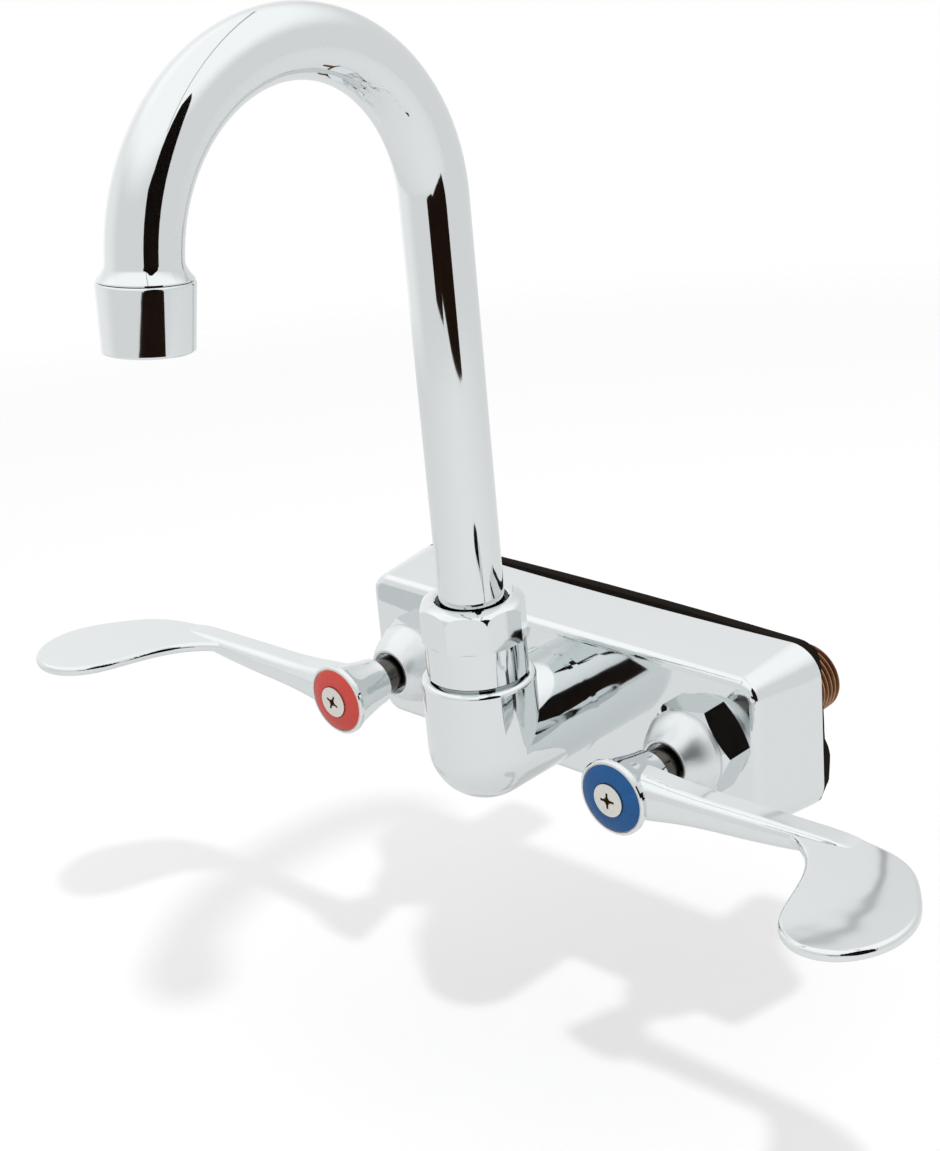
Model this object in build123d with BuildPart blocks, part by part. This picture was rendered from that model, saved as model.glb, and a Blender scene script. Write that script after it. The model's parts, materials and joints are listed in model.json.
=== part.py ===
"""Wall-mounted gooseneck faucet with two wrist-blade handles.

Millimetres. The wall is the plane y = 0 and the faucet stands out from it towards -Y,
with +Z up and +X to the right as seen from the front. The origin lies on the wall,
midway between the two valves and level with them.
"""

import os
from math import cos, pi, radians, sin, sqrt

from build123d import *

os.makedirs("parts", exist_ok=True)

# Driving dimensions

# Layout
valve_centres = 101.6            # 4 inches between the two valves
index_face_y = -61.7             # front face of the coloured index rings
spout_axis_y = -54.3             # upright swivel axis of the spout

# Fits and clearances
thread_gap = 0.1                 # between two threaded pieces that are screwed together
running_gap = 0.05               # between a turning piece and its bore
seal_gap = 0.05                  # round a soft seal in its groove
face_gap = 0.3                   # between parts that face each other and move
index_gap = 0.08                 # round the index ring in its recess

# Wall gasket
gasket_thickness = 3.0
gasket_top_bow = 0.9             # how far the squeezed rubber bows out at the top
gasket_end_bow = 1.2             # and at each end
gasket_end_flat = 9.5            # half height of the bowed part of each end

# Body casting
body_depth = 23.2
body_back_reach = 23.2           # from each valve's axis to the end of the back face
body_back_height = 48.0
body_back_corner = 9.0
body_front_reach = 19.2          # from each valve's axis to the end of the front face
body_front_height = 44.0
body_front_corner = 5.5
body_front_fillet = 2.4
waterway_radius = 3.4
waterway_y = -18.2

# Inlet nipples, 1/2 inch tapered pipe thread
nipple_outer = 10.67
nipple_step = 0.17               # how much slimmer the end is that is screwed into the body
nipple_wall = 2.77
nipple_reach = 24.4              # how far the nipples stand out behind the wall face
nipple_chamfer = 1.0
nipple_socket_depth = 8.0

# Valve bonnet and its conical cap
bonnet_hex_margin = 0.25         # the flats of the hexagon beyond the seal under it
bonnet_hex_height = 5.2
bonnet_thread_step = 1.7         # thread beyond the sleeve behind it
bonnet_thread_length = 4.0
bonnet_sleeve_wall = 1.65
bonnet_seal_offset = 0.95        # middle of the seal beyond the thread
bonnet_seal_minor = 0.8
bonnet_neck_wall = 3.15
bonnet_neck_length = 5.6
bonnet_hex_turn = 5.0            # degrees, how far the hex is turned on its axis
sleeve_window_radius = 1.9
sleeve_window_y = -19.9
seat_ledge = 1.3                 # how far the discs overlap the wall of their seat
seat_wall = 2.2
cap_base_margin = 0.15           # foot of the cap beyond the flats of the hexagon
cap_base_height = 1.5
cap_lip_width = 1.45
cap_height = 9.1
cap_mouth_gap = 0.95             # dark gap round the stem in the mouth of the cap
cap_mouth_depth = 2.4

# Stem, discs and seals inside the valve
stem_radius = 5.1
stem_square = 6.6                # across the square tip that drives the handle
stem_square_chamfer = 0.6
stem_flange_step = 1.2
stem_flange_thickness = 1.3
stem_groove_width = 1.8
stem_groove_depth = 1.5
stem_groove_starts = (0.4, 4.4)  # in front of the face of the body
tang_width = 2.4                 # bar that fits the slot of the turning disc
tang_setback = 0.3               # each end of the bar inside the rim of the flange
tang_depth = 0.5
disc_margin = 0.2                # discs beyond the flange of the stem
turning_disc_thickness = 1.5
fixed_disc_thickness = 1.7
disc_port_radius = 1.6
disc_port_offset = 3.1
seat_seal_thickness = 1.2

# Handle
hub_rim_width = 0.79             # rim of the hub round the index ring
hub_back_radius = 6.9
hub_length = 15.7
hub_rim_height = 1.2
index_outer = 9.43
index_screw_gap = 0.15           # between the ring and the head of the screw
index_thickness = 1.25           # at the rim
index_rise = 1.0                 # how much higher its inner edge stands
screw_head_radius = 4.5
screw_head_height = 1.75         # above the rim of the index ring
screw_shank_radius = 2.4
screw_length = 11.0
cross_slot_width = 0.9
cross_slot_length = 4.6
cross_slot_depth = 1.2
blade_reach = 100.8              # stem axis to the tip of the blade
blade_width = 38.3               # how far the paddle sweeps forward of the index face
blade_thickness = 2.8
blade_rise = 0.6                 # middle of the paddle above the stem axis
blade_edge_fillet = 1.1
arm_back = -9.7                  # back edge of the arm, measured forward from the index face
arm_front = -1.8                 # front edge of the arm
arm_height = 7.4                 # at the middle of the arm
arm_nose = 3.0                   # rounding of its front edges there
arm_heel = 1.4                   # rounding of its back edges
hot_rest_turn = 1.4              # degrees that each closed blade stands above level
cold_rest_turn = 4.1
hot_slot_turn = -26.0            # degrees, how far the cross of each screw is turned
cold_slot_turn = 0.0

# Spout elbow
elbow_radius = 15.4
elbow_axis_z = -1.3              # its level arm sits a little below the valves
elbow_shoulder_z = 19.1
elbow_collar_step = 0.9
elbow_collar_thickness = 1.0
elbow_spigot_wall = 2.4
elbow_spigot_length = 4.5
elbow_bore = 7.5
elbow_socket_floor = 4.0
elbow_neck_wall = 1.7
elbow_neck_top = 33.0

# Swivel nut
nut_bottom_z = 19.7
nut_skirt_wall = 1.5             # over the threaded neck, with the gap of the thread
nut_flats_z = 29.9
nut_flats_wall = 1.25            # the eight flats over the threaded neck
nut_shoulder_z = 37.2
nut_top_z = 41.0
nut_hole_gap = 1.0               # round the tube, so that the spout turns freely
nut_rim_width = 1.07
nut_ledge_z = 36.2
nut_turn = -31.2                 # degrees, how far the flats are turned on the axis

# Gooseneck tube
tube_radius = 8.73               # 11/16 inch tube
tube_wall = 1.0
bend_radius = 44.45              # 3.5 inches across the bend
bend_angle = 173.0
bend_centre_z = 146.6
tube_foot_z = 6.5
bell_flare = 2.02
bell_length = 3.9

# Sleeve and seals on the foot of the tube
sleeve_wall = 1.62
sleeve_bottom_z = 5.0
sleeve_flange_step = 1.45
sleeve_flange_thickness = 1.7
sleeve_seal_heights = (11.0, 17.0)
sleeve_seal_depth = 0.63         # middle of each seal inside the face of the sleeve
sleeve_seal_minor = 0.62
bearing_ring_thickness = 0.9

# Aerator, measured along the outlet axis from the end of the bend
aerator_start = 4.0
aerator_end = 19.6
aerator_top_step = 0.3           # top of the shell beyond the belled end
aerator_taper = 0.7
aerator_thread_inset = 1.55      # thread of the shell inside the belled end
aerator_lip_width = 1.1
aerator_lip_height = 0.9
adapter_end = 8.6
adapter_thread_wall = 2.9
washer_thickness = 1.4
insert_length = 6.6
screen_thickness = 0.8

# Values that follow from them

body_back_width = valve_centres + 2 * body_back_reach
body_front_width = valve_centres + 2 * body_front_reach
nipple_inner_end = nipple_outer - nipple_step
nipple_bore = nipple_outer - nipple_wall

stem_flange_radius = stem_radius + stem_flange_step
tang_length = 2 * (stem_flange_radius - tang_setback)
disc_radius = stem_flange_radius + disc_margin
seat_bore_radius = disc_radius - seat_ledge
bonnet_sleeve_radius = disc_radius + running_gap + bonnet_sleeve_wall
bonnet_thread_radius = bonnet_sleeve_radius + bonnet_thread_step
valve_chamber_radius = bonnet_thread_radius + thread_gap
bonnet_seal_major = bonnet_thread_radius + bonnet_seal_offset
bonnet_hex = 2 * (bonnet_seal_major + bonnet_seal_minor + bonnet_hex_margin)
bonnet_neck_radius = stem_radius + bonnet_neck_wall + running_gap
cap_base_radius = bonnet_hex / 2 + cap_base_margin
cap_mouth_radius = stem_radius + cap_mouth_gap
cap_tip_radius = cap_mouth_radius + cap_lip_width
index_inner = screw_head_radius + index_screw_gap
hub_front_radius = index_outer + index_gap + hub_rim_width

sleeve_radius = tube_radius + sleeve_wall
sleeve_flange_radius = sleeve_radius + sleeve_flange_step
sleeve_seal_major = sleeve_radius - sleeve_seal_depth
elbow_collar_radius = elbow_radius + elbow_collar_step
elbow_spigot_radius = elbow_bore + elbow_spigot_wall
elbow_socket_radius = sleeve_radius + running_gap
elbow_neck_radius = elbow_socket_radius + elbow_neck_wall
nut_skirt_radius = elbow_neck_radius + nut_skirt_wall
nut_flats = 2 * (elbow_neck_radius + nut_flats_wall)
nut_hole_radius = tube_radius + nut_hole_gap
nut_rim_radius = nut_hole_radius + nut_rim_width
bell_radius = tube_radius + bell_flare
aerator_bore = bell_radius - aerator_thread_inset
aerator_top_radius = bell_radius + aerator_top_step
aerator_bottom_radius = aerator_top_radius - aerator_taper
aerator_lip_radius = aerator_bore - aerator_lip_width
adapter_bore = aerator_bore - thread_gap - adapter_thread_wall

body_back_y = -gasket_thickness
body_front_y = body_back_y - body_depth
nipple_socket_floor_y = body_back_y - nipple_socket_depth
seat_front_y = nipple_socket_floor_y - seat_wall
hex_front_y = body_front_y - bonnet_hex_height
sleeve_tip_y = seat_front_y - 0.3
cap_base_y = hex_front_y
cap_tip_y = cap_base_y - cap_height
hub_back_y = index_face_y + hub_length
index_back_y = index_face_y + index_thickness
stem_tip_y = index_back_y + 3.1
fixed_disc_back_y = seat_front_y - seat_seal_thickness
turning_disc_back_y = fixed_disc_back_y - fixed_disc_thickness - running_gap
turning_disc_front_y = turning_disc_back_y - turning_disc_thickness
chamber_front_y = body_front_y + bonnet_thread_length - 0.1
valve_places = ((-valve_centres / 2, 0), (valve_centres / 2, 0))
sides = (
    ("hot", -1, hot_rest_turn, hot_slot_turn),
    ("cold", 1, cold_rest_turn, cold_slot_turn),
)


def facing_out(y, x=0.0, z=0.0):
    """Plane that looks out of the wall, local x to the right and local y up."""
    return Plane(origin=(x, y, z), x_dir=(1, 0, 0), z_dir=(0, -1, 0))


def level(z):
    """Level plane on the axis of the spout."""
    return Plane(origin=(0, spout_axis_y, z), x_dir=(1, 0, 0), z_dir=(0, 0, 1))


def across(x, y):
    """Upright plane that looks along the body, local x towards the wall."""
    return Plane(origin=(x, y, 0), x_dir=(0, 1, 0), z_dir=(1, 0, 0))


# Body and gasket

with BuildPart() as faucet_body:
    # A drafted block: the back is the larger face, as it leaves its mould
    with BuildSketch(facing_out(body_back_y)):
        RectangleRounded(body_back_width, body_back_height, body_back_corner)
    with BuildSketch(facing_out(body_front_y)):
        RectangleRounded(body_front_width, body_front_height, body_front_corner)
    loft()
    front_edges = faucet_body.faces().sort_by(Axis.Y)[0].edges()
    fillet(front_edges, body_front_fillet)
    # Valve chambers from the front
    with BuildSketch(facing_out(body_front_y)):
        with Locations(*valve_places):
            Circle(valve_chamber_radius)
    extrude(amount=-(seat_front_y - body_front_y), mode=Mode.SUBTRACT)
    # Countersunk seats for the bonnet seals
    with BuildSketch(facing_out(body_front_y)):
        with Locations(*valve_places):
            Circle(bonnet_seal_major + bonnet_seal_minor)
    extrude(amount=-2 * bonnet_seal_minor, mode=Mode.SUBTRACT)
    # Seat bores through to the inlets
    with BuildSketch(facing_out(body_front_y)):
        with Locations(*valve_places):
            Circle(seat_bore_radius)
    extrude(amount=-body_depth, mode=Mode.SUBTRACT)
    # Inlet sockets from the back
    with BuildSketch(facing_out(body_back_y)):
        with Locations(*valve_places):
            Circle(nipple_inner_end + thread_gap)
    extrude(amount=nipple_socket_depth, mode=Mode.SUBTRACT)
    # Socket for the elbow in the middle of the front
    with BuildSketch(facing_out(body_front_y, z=elbow_axis_z)):
        Circle(elbow_spigot_radius + thread_gap)
    extrude(amount=-(seat_front_y - body_front_y), mode=Mode.SUBTRACT)
    # One waterway joins both valve chambers to the middle socket
    with BuildSketch(across(0, waterway_y)):
        Circle(waterway_radius)
    extrude(amount=valve_centres / 2, both=True, mode=Mode.SUBTRACT)
faucet_body.part.label = "faucet_body"
export_step(faucet_body.part, "parts/faucet_body.step")

with BuildPart() as wall_gasket:
    half_width = body_back_width / 2
    half_height = body_back_height / 2
    corner = body_back_corner
    with BuildSketch(facing_out(0)):
        with BuildLine():
            top = ThreePointArc(
                (-half_width + corner, half_height),
                (0, half_height + gasket_top_bow),
                (half_width - corner, half_height),
            )
            right_corner = RadiusArc(top @ 1, (half_width, half_height - corner), corner)
            upper = Line(right_corner @ 1, (half_width, gasket_end_flat))
            right_end = ThreePointArc(
                upper @ 1,
                (half_width + gasket_end_bow, 0),
                (half_width, -gasket_end_flat),
            )
            lower = Line(right_end @ 1, (half_width, -half_height + corner))
            low_corner = RadiusArc(lower @ 1, (half_width - corner, -half_height), corner)
            bottom = Line(low_corner @ 1, (-half_width + corner, -half_height))
            low_left = RadiusArc(bottom @ 1, (-half_width, -half_height + corner), corner)
            left_lower = Line(low_left @ 1, (-half_width, -gasket_end_flat))
            left_end = ThreePointArc(
                left_lower @ 1,
                (-half_width - gasket_end_bow, 0),
                (-half_width, gasket_end_flat),
            )
            left_upper = Line(left_end @ 1, (-half_width, half_height - corner))
            RadiusArc(left_upper @ 1, top @ 0, corner)
        make_face()
        with Locations(*valve_places):
            Circle(nipple_outer + face_gap, mode=Mode.SUBTRACT)
    extrude(amount=gasket_thickness)
wall_gasket.part.label = "wall_gasket"
export_step(wall_gasket.part, "parts/wall_gasket.step")

# Pieces of each valve, made once for the hot side and once for the cold side

for name, side, rest_turn, slot_turn in sides:
    valve_x = side * valve_centres / 2
    # Half profiles are drawn on this plane: local x is the radius, local y runs forward
    profile_plane = Plane(origin=(valve_x, 0, 0), x_dir=(1, 0, 0), z_dir=(0, 0, -1))
    valve_axis = Axis((valve_x, 0, 0), (0, 1, 0))

    with BuildPart() as inlet_nipple:
        # Pipe nipple with a slimmer end inside the body and a chamfer at the free end
        with BuildSketch(profile_plane):
            with BuildLine():
                Polyline(
                    (nipple_bore, -nipple_reach),
                    (nipple_outer - nipple_chamfer, -nipple_reach),
                    (nipple_outer, -nipple_reach + nipple_chamfer),
                    (nipple_outer, 0),
                    (nipple_inner_end, 0.2),
                    (nipple_inner_end, -nipple_socket_floor_y - 0.1),
                    (nipple_bore, -nipple_socket_floor_y - 0.1),
                    close=True,
                )
            make_face()
        revolve(axis=valve_axis)
    inlet_nipple.part.label = f"{name}_inlet_nipple"
    export_step(inlet_nipple.part, f"parts/{name}_inlet_nipple.step")

    with BuildPart() as valve_bonnet:
        # Hexagonal head, chamfered in front by a cone
        bonnet_plane = Plane(
            origin=(valve_x, body_front_y, 0),
            x_dir=(cos(radians(bonnet_hex_turn)), 0, side * sin(radians(bonnet_hex_turn))),
            z_dir=(0, -1, 0),
        )
        with BuildSketch(bonnet_plane):
            RegularPolygon(bonnet_hex / 2, 6, major_radius=False)
        extrude(amount=bonnet_hex_height)
        hex_corner = bonnet_hex / sqrt(3)
        with BuildSketch(profile_plane):
            with BuildLine():
                Polyline(
                    (0, -body_front_y - 1),
                    (hex_corner + 1, -body_front_y - 1),
                    (hex_corner + 1, -hex_front_y - (hex_corner + 1 - bonnet_hex / 2) * 0.55),
                    (bonnet_hex / 2, -hex_front_y),
                    (0, -hex_front_y),
                    close=True,
                )
            make_face()
        revolve(axis=valve_axis, mode=Mode.INTERSECT)
        # Threaded part, cartridge sleeve behind it and threaded neck in front
        with BuildSketch(profile_plane):
            with BuildLine():
                Polyline(
                    (0, -sleeve_tip_y),
                    (bonnet_sleeve_radius, -sleeve_tip_y),
                    (bonnet_sleeve_radius, -body_front_y - bonnet_thread_length),
                    (bonnet_thread_radius, -body_front_y - bonnet_thread_length),
                    (bonnet_thread_radius, -hex_front_y),
                    (bonnet_neck_radius, -hex_front_y),
                    (bonnet_neck_radius, -hex_front_y + bonnet_neck_length),
                    (0, -hex_front_y + bonnet_neck_length),
                    close=True,
                )
            make_face()
        revolve(axis=valve_axis)
        # Bore for the stem, wider chamber for the discs, and a recess for the stem seals
        with BuildSketch(profile_plane):
            with BuildLine():
                Polyline(
                    (0, -sleeve_tip_y - 1),
                    (disc_radius + running_gap, -sleeve_tip_y - 1),
                    (disc_radius + running_gap, -chamber_front_y),
                    (stem_radius + running_gap, -chamber_front_y),
                    (stem_radius + running_gap, -hex_front_y + bonnet_neck_length + 1),
                    (0, -hex_front_y + bonnet_neck_length + 1),
                    close=True,
                )
            make_face()
        revolve(axis=valve_axis, mode=Mode.SUBTRACT)
        # Two windows let the water out of the sleeve into the waterway
        with BuildSketch(across(valve_x, sleeve_window_y)):
            Circle(sleeve_window_radius)
        extrude(amount=bonnet_sleeve_radius + 0.6, both=True, mode=Mode.SUBTRACT)
    valve_bonnet.part.label = f"{name}_valve_bonnet"
    export_step(valve_bonnet.part, f"parts/{name}_valve_bonnet.step")

    with BuildPart() as bonnet_seal:
        # Square-cut ring round the root of the bonnet, under its hexagon
        with BuildSketch(facing_out(body_front_y + seal_gap, valve_x)):
            Circle(bonnet_seal_major + bonnet_seal_minor - seal_gap)
            Circle(bonnet_seal_major - bonnet_seal_minor + seal_gap, mode=Mode.SUBTRACT)
        extrude(amount=-2 * (bonnet_seal_minor - seal_gap))
    bonnet_seal.part.label = f"{name}_bonnet_seal"
    export_step(bonnet_seal.part, f"parts/{name}_bonnet_seal.step")

    with BuildPart() as bonnet_cap:
        # Short cylinder at the foot, then a smooth cone, then a rounded mouth
        with BuildSketch(profile_plane):
            with BuildLine():
                foot = Polyline(
                    (bonnet_neck_radius + thread_gap, -cap_base_y),
                    (cap_base_radius - 0.35, -cap_base_y),
                    (cap_base_radius, -cap_base_y + 0.35),
                    (cap_base_radius, -cap_base_y + cap_base_height - 0.35),
                    (cap_base_radius - 0.4, -cap_base_y + cap_base_height),
                )
                cone = ThreePointArc(
                    foot @ 1,
                    (
                        (cap_base_radius + cap_tip_radius) / 2 + 0.15,
                        -(cap_base_y + cap_tip_y) / 2 + cap_base_height / 2,
                    ),
                    (cap_tip_radius, -cap_tip_y - 0.5),
                )
                lip = Spline(
                    cone @ 1,
                    (cap_tip_radius - 0.35, -cap_tip_y - 0.08),
                    (cap_mouth_radius + 0.35, -cap_tip_y),
                )
                Polyline(
                    lip @ 1,
                    (cap_mouth_radius, -cap_tip_y - 0.35),
                    (cap_mouth_radius, -cap_tip_y - cap_mouth_depth),
                    (stem_radius + running_gap, -cap_tip_y - cap_mouth_depth),
                    (stem_radius + running_gap, -hex_front_y + bonnet_neck_length + 0.1),
                    (bonnet_neck_radius + thread_gap, -hex_front_y + bonnet_neck_length + 0.1),
                    foot @ 0,
                )
            make_face()
        revolve(axis=valve_axis)
    bonnet_cap.part.label = f"{name}_bonnet_cap"
    export_step(bonnet_cap.part, f"parts/{name}_bonnet_cap.step")

    with BuildPart() as valve_stem:
        # Flanged shaft with a groove for each seal
        groove_points = []
        for start in stem_groove_starts:
            groove_points += [
                (stem_radius, -body_front_y + start),
                (stem_radius - stem_groove_depth, -body_front_y + start),
                (stem_radius - stem_groove_depth, -body_front_y + start + stem_groove_width),
                (stem_radius, -body_front_y + start + stem_groove_width),
            ]
        flange_back_y = chamber_front_y + face_gap + stem_flange_thickness
        with BuildSketch(profile_plane):
            with BuildLine():
                Polyline(
                    (0, -flange_back_y),
                    (stem_flange_radius, -flange_back_y),
                    (stem_flange_radius, -flange_back_y + stem_flange_thickness),
                    (stem_radius, -flange_back_y + stem_flange_thickness),
                    *groove_points,
                    (stem_radius, -hub_back_y - 0.5),
                    (stem_radius - 0.5, -hub_back_y),
                    (0, -hub_back_y),
                    close=True,
                )
            make_face()
        revolve(axis=valve_axis)
        # Bar at the back that turns the disc; the water passes on both sides of it
        with BuildSketch(facing_out(flange_back_y, valve_x)):
            Rectangle(tang_length, tang_width)
        extrude(amount=-(turning_disc_front_y + tang_depth - flange_back_y))
        # Square tip that fits the hub, with broken corners, and the hole for the screw
        with BuildSketch(facing_out(hub_back_y, valve_x)):
            tip_outline = Rectangle(stem_square, stem_square)
            chamfer(tip_outline.vertices(), stem_square_chamfer)
        extrude(amount=hub_back_y - stem_tip_y)
        with BuildSketch(facing_out(stem_tip_y, valve_x)):
            Circle(screw_shank_radius + thread_gap)
        extrude(amount=-(screw_length + 1.0), mode=Mode.SUBTRACT)
    valve_stem.part.label = f"{name}_valve_stem"
    export_step(valve_stem.part, f"parts/{name}_valve_stem.step")

    with BuildPart() as stem_seals:
        # Two square-cut rings in the grooves of the stem
        for start in stem_groove_starts:
            with BuildSketch(facing_out(body_front_y - start - seal_gap, valve_x)):
                Circle(stem_radius)
                Circle(stem_radius - stem_groove_depth + seal_gap, mode=Mode.SUBTRACT)
            extrude(amount=stem_groove_width - 2 * seal_gap)
    stem_seals.part.label = f"{name}_stem_seals"
    export_step(stem_seals.part, f"parts/{name}_stem_seals.step")

    with BuildPart() as turning_disc:
        # Ceramic disc with two round ports and a slot for the bar of the stem
        with BuildSketch(facing_out(turning_disc_back_y, valve_x)):
            Circle(disc_radius)
            with PolarLocations(disc_port_offset, 2, start_angle=90):
                Circle(disc_port_radius, mode=Mode.SUBTRACT)
        extrude(amount=turning_disc_thickness)
        with BuildSketch(facing_out(turning_disc_front_y, valve_x)):
            Rectangle(2 * disc_radius + 1, tang_width + 0.2)
        extrude(amount=-(tang_depth + 0.1), mode=Mode.SUBTRACT)
    turning_disc.part.label = f"{name}_turning_disc"
    export_step(turning_disc.part, f"parts/{name}_turning_disc.step")

    with BuildPart() as fixed_disc:
        # Its ports lie a quarter turn away, so the valve is closed at rest
        with BuildSketch(facing_out(fixed_disc_back_y, valve_x)):
            Circle(disc_radius)
            with PolarLocations(disc_port_offset, 2):
                Circle(disc_port_radius, mode=Mode.SUBTRACT)
        extrude(amount=fixed_disc_thickness)
    fixed_disc.part.label = f"{name}_fixed_disc"
    export_step(fixed_disc.part, f"parts/{name}_fixed_disc.step")

    with BuildPart() as seat_seal:
        # Rubber ring between the fixed disc and the seat wall of the body
        with BuildSketch(facing_out(seat_front_y, valve_x)):
            Circle(disc_radius - seal_gap)
            Circle(seat_bore_radius - 0.2, mode=Mode.SUBTRACT)
        extrude(amount=seat_seal_thickness)
    seat_seal.part.label = f"{name}_seat_seal"
    export_step(seat_seal.part, f"parts/{name}_seat_seal.step")

    # Closed, each blade points outward and a little up from level
    turn = radians(rest_turn)
    blade_plan = Plane(
        origin=(valve_x, index_face_y, 0),
        x_dir=(side * cos(turn), 0, sin(turn)),
        z_dir=(sin(turn), 0, -side * cos(turn)),
    )
    arm_plane = Plane(
        origin=(valve_x, index_face_y, 0),
        x_dir=(0, -1, 0),
        z_dir=(-cos(turn), 0, -side * sin(turn)),
    )

    with BuildPart() as paddle:
        # Broad forward-swept plate with a rounded rim: local x outward, local y forward
        with BuildSketch(blade_plan.offset(-side * blade_rise)):
            with BuildLine():
                rim = Spline(
                    (46.0, arm_back + 1.7),
                    (60.0, arm_back + 0.5),
                    (75.0, arm_back + 1.9),
                    (blade_reach - 14.9, -3.2),
                    (blade_reach - 6.5, 5.7),
                    (blade_reach - 0.6, 16.6),
                    (blade_reach - 0.9, blade_width - 10.3),
                    (blade_reach - 7.3, blade_width - 2.0),
                    (blade_reach - 16.9, blade_width - 0.1),
                    (75.2, blade_width - 5.6),
                    (70.6, 23.0),
                    (67.2, 13.0),
                    (62.6, 4.8),
                    (55.0, arm_front + 0.4),
                    (46.0, arm_front - 1.6),
                )
                Line(rim @ 1, rim @ 0)
            make_face()
        extrude(amount=blade_thickness / 2, both=True)
        rim_edges = paddle.edges().filter_by(lambda edge: edge.length > 100)
        fillet(rim_edges, blade_edge_fillet)

    with BuildPart() as handle:
        # Arm: lofted from the tall root at the hub to a thin end inside the paddle
        # Each section: distance out, back edge, front edge, height, rise and front rounding
        arm_sections = (
            (2.0, arm_back - 0.2, arm_front + 1.2, arm_height + 5.2, -0.1, arm_nose + 1.6),
            (10.0, arm_back - 0.1, arm_front + 0.9, arm_height + 4.2, -0.1, arm_nose + 1.3),
            (18.0, arm_back, arm_front + 0.3, arm_height + 2.1, -0.1, arm_nose + 0.5),
            (34.0, arm_back + 0.2, arm_front, arm_height + 0.2, -0.1, arm_nose),
            (48.0, arm_back + 0.4, arm_front - 0.1, arm_height - 1.1, 0.0, arm_nose - 0.4),
            (58.0, arm_back + 0.55, arm_front - 0.3, arm_height - 2.4, 0.25, arm_nose - 0.9),
            (71.0, arm_back + 1.5, arm_front - 1.0, 2.3, blade_rise, 0.9),
        )
        for distance, back, front, height, rise, nose in arm_sections:
            with BuildSketch(arm_plane.offset(-side * distance)):
                with Locations(((back + front) / 2, rise)):
                    section = Rectangle(front - back, height)
                heel = min(arm_heel, 0.38 * height)
                fillet(section.vertices().group_by(Axis.X)[-1], nose)
                fillet(section.vertices().group_by(Axis.X)[0], heel)
        loft()
        add(paddle.part)
        # Hub: a bell that narrows towards the wall, with a recess for the index ring
        with BuildSketch(profile_plane):
            with BuildLine():
                bell = Spline(
                    (hub_back_radius, -hub_back_y + 0.6),
                    (hub_back_radius + 0.75, -hub_back_y + 5.2),
                    (hub_back_radius + 1.9, -hub_back_y + 10.0),
                    (hub_front_radius, -index_face_y - hub_rim_height),
                    tangents=((0.08, 1), (0.5, 1)),
                )
                Polyline(
                    bell @ 1,
                    (hub_front_radius, -index_face_y - 0.3),
                    (hub_front_radius - 0.3, -index_face_y),
                    (index_outer + index_gap, -index_face_y),
                    (index_outer + index_gap, -index_back_y),
                    (0, -index_back_y),
                    (0, -hub_back_y),
                    (hub_back_radius - 0.6, -hub_back_y),
                    bell @ 0,
                )
            make_face()
        revolve(axis=valve_axis)
        # The arm's root is cleared out of the recess
        with BuildSketch(facing_out(index_back_y, valve_x)):
            Circle(index_outer + index_gap)
        extrude(amount=4, mode=Mode.SUBTRACT)
        # Square socket for the stem and hole for the screw
        with BuildSketch(facing_out(hub_back_y, valve_x)):
            Rectangle(stem_square + 2 * running_gap, stem_square + 2 * running_gap)
        extrude(amount=hub_back_y - stem_tip_y + 0.1, mode=Mode.SUBTRACT)
        with BuildSketch(facing_out(index_back_y, valve_x)):
            Circle(screw_shank_radius + 0.2)
        extrude(amount=-4, mode=Mode.SUBTRACT)
    handle.part.label = f"{name}_handle"
    export_step(handle.part, f"parts/{name}_handle.step")

    with BuildPart() as index_ring:
        # Coloured ring, a little higher round the screw than at its rim
        with BuildSketch(profile_plane):
            with BuildLine():
                foot = Polyline(
                    (index_inner, -index_back_y),
                    (index_outer, -index_back_y),
                    (index_outer, -index_face_y - 0.2),
                    (index_outer - 0.2, -index_face_y),
                )
                dome = ThreePointArc(
                    foot @ 1,
                    ((index_outer + index_inner) / 2, -index_face_y + index_rise * 0.7),
                    (index_inner, -index_face_y + index_rise),
                )
                Line(dome @ 1, foot @ 0)
            make_face()
        revolve(axis=valve_axis)
    index_ring.part.label = f"{name}_index_ring"
    export_step(index_ring.part, f"parts/{name}_index_ring.step")

    with BuildPart() as handle_screw:
        # Low domed head inside the index ring, a plain shank and a cross recess
        head_y = index_face_y - screw_head_height
        with BuildSketch(profile_plane):
            with BuildLine():
                shank = Polyline(
                    (0, -index_back_y - screw_length),
                    (screw_shank_radius - 0.4, -index_back_y - screw_length),
                    (screw_shank_radius, -index_back_y - screw_length + 0.6),
                    (screw_shank_radius, -index_back_y),
                    (screw_head_radius, -index_back_y),
                    (screw_head_radius, -head_y - 0.3),
                )
                crown = ThreePointArc(
                    shank @ 1,
                    (screw_head_radius * 0.6, -head_y - 0.09),
                    (0, -head_y),
                )
                Line(crown @ 1, shank @ 0)
            make_face()
        revolve(axis=valve_axis)
        with BuildSketch(facing_out(head_y - 1, valve_x)):
            with Locations(Rotation(0, 0, slot_turn)):
                Rectangle(cross_slot_length, cross_slot_width)
                Rectangle(cross_slot_width, cross_slot_length)
        extrude(amount=-(cross_slot_depth + 1), taper=6, mode=Mode.SUBTRACT)
    handle_screw.part.label = f"{name}_handle_screw"
    export_step(handle_screw.part, f"parts/{name}_handle_screw.step")

# Elbow and swivel nut

spout_axis = Axis((0, spout_axis_y, 0), (0, 0, 1))
# Half profiles of the upright pieces: local x is the radius, local y is the height
upright_profile = Plane(origin=(0, spout_axis_y, 0), x_dir=(1, 0, 0), z_dir=(0, -1, 0))

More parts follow.
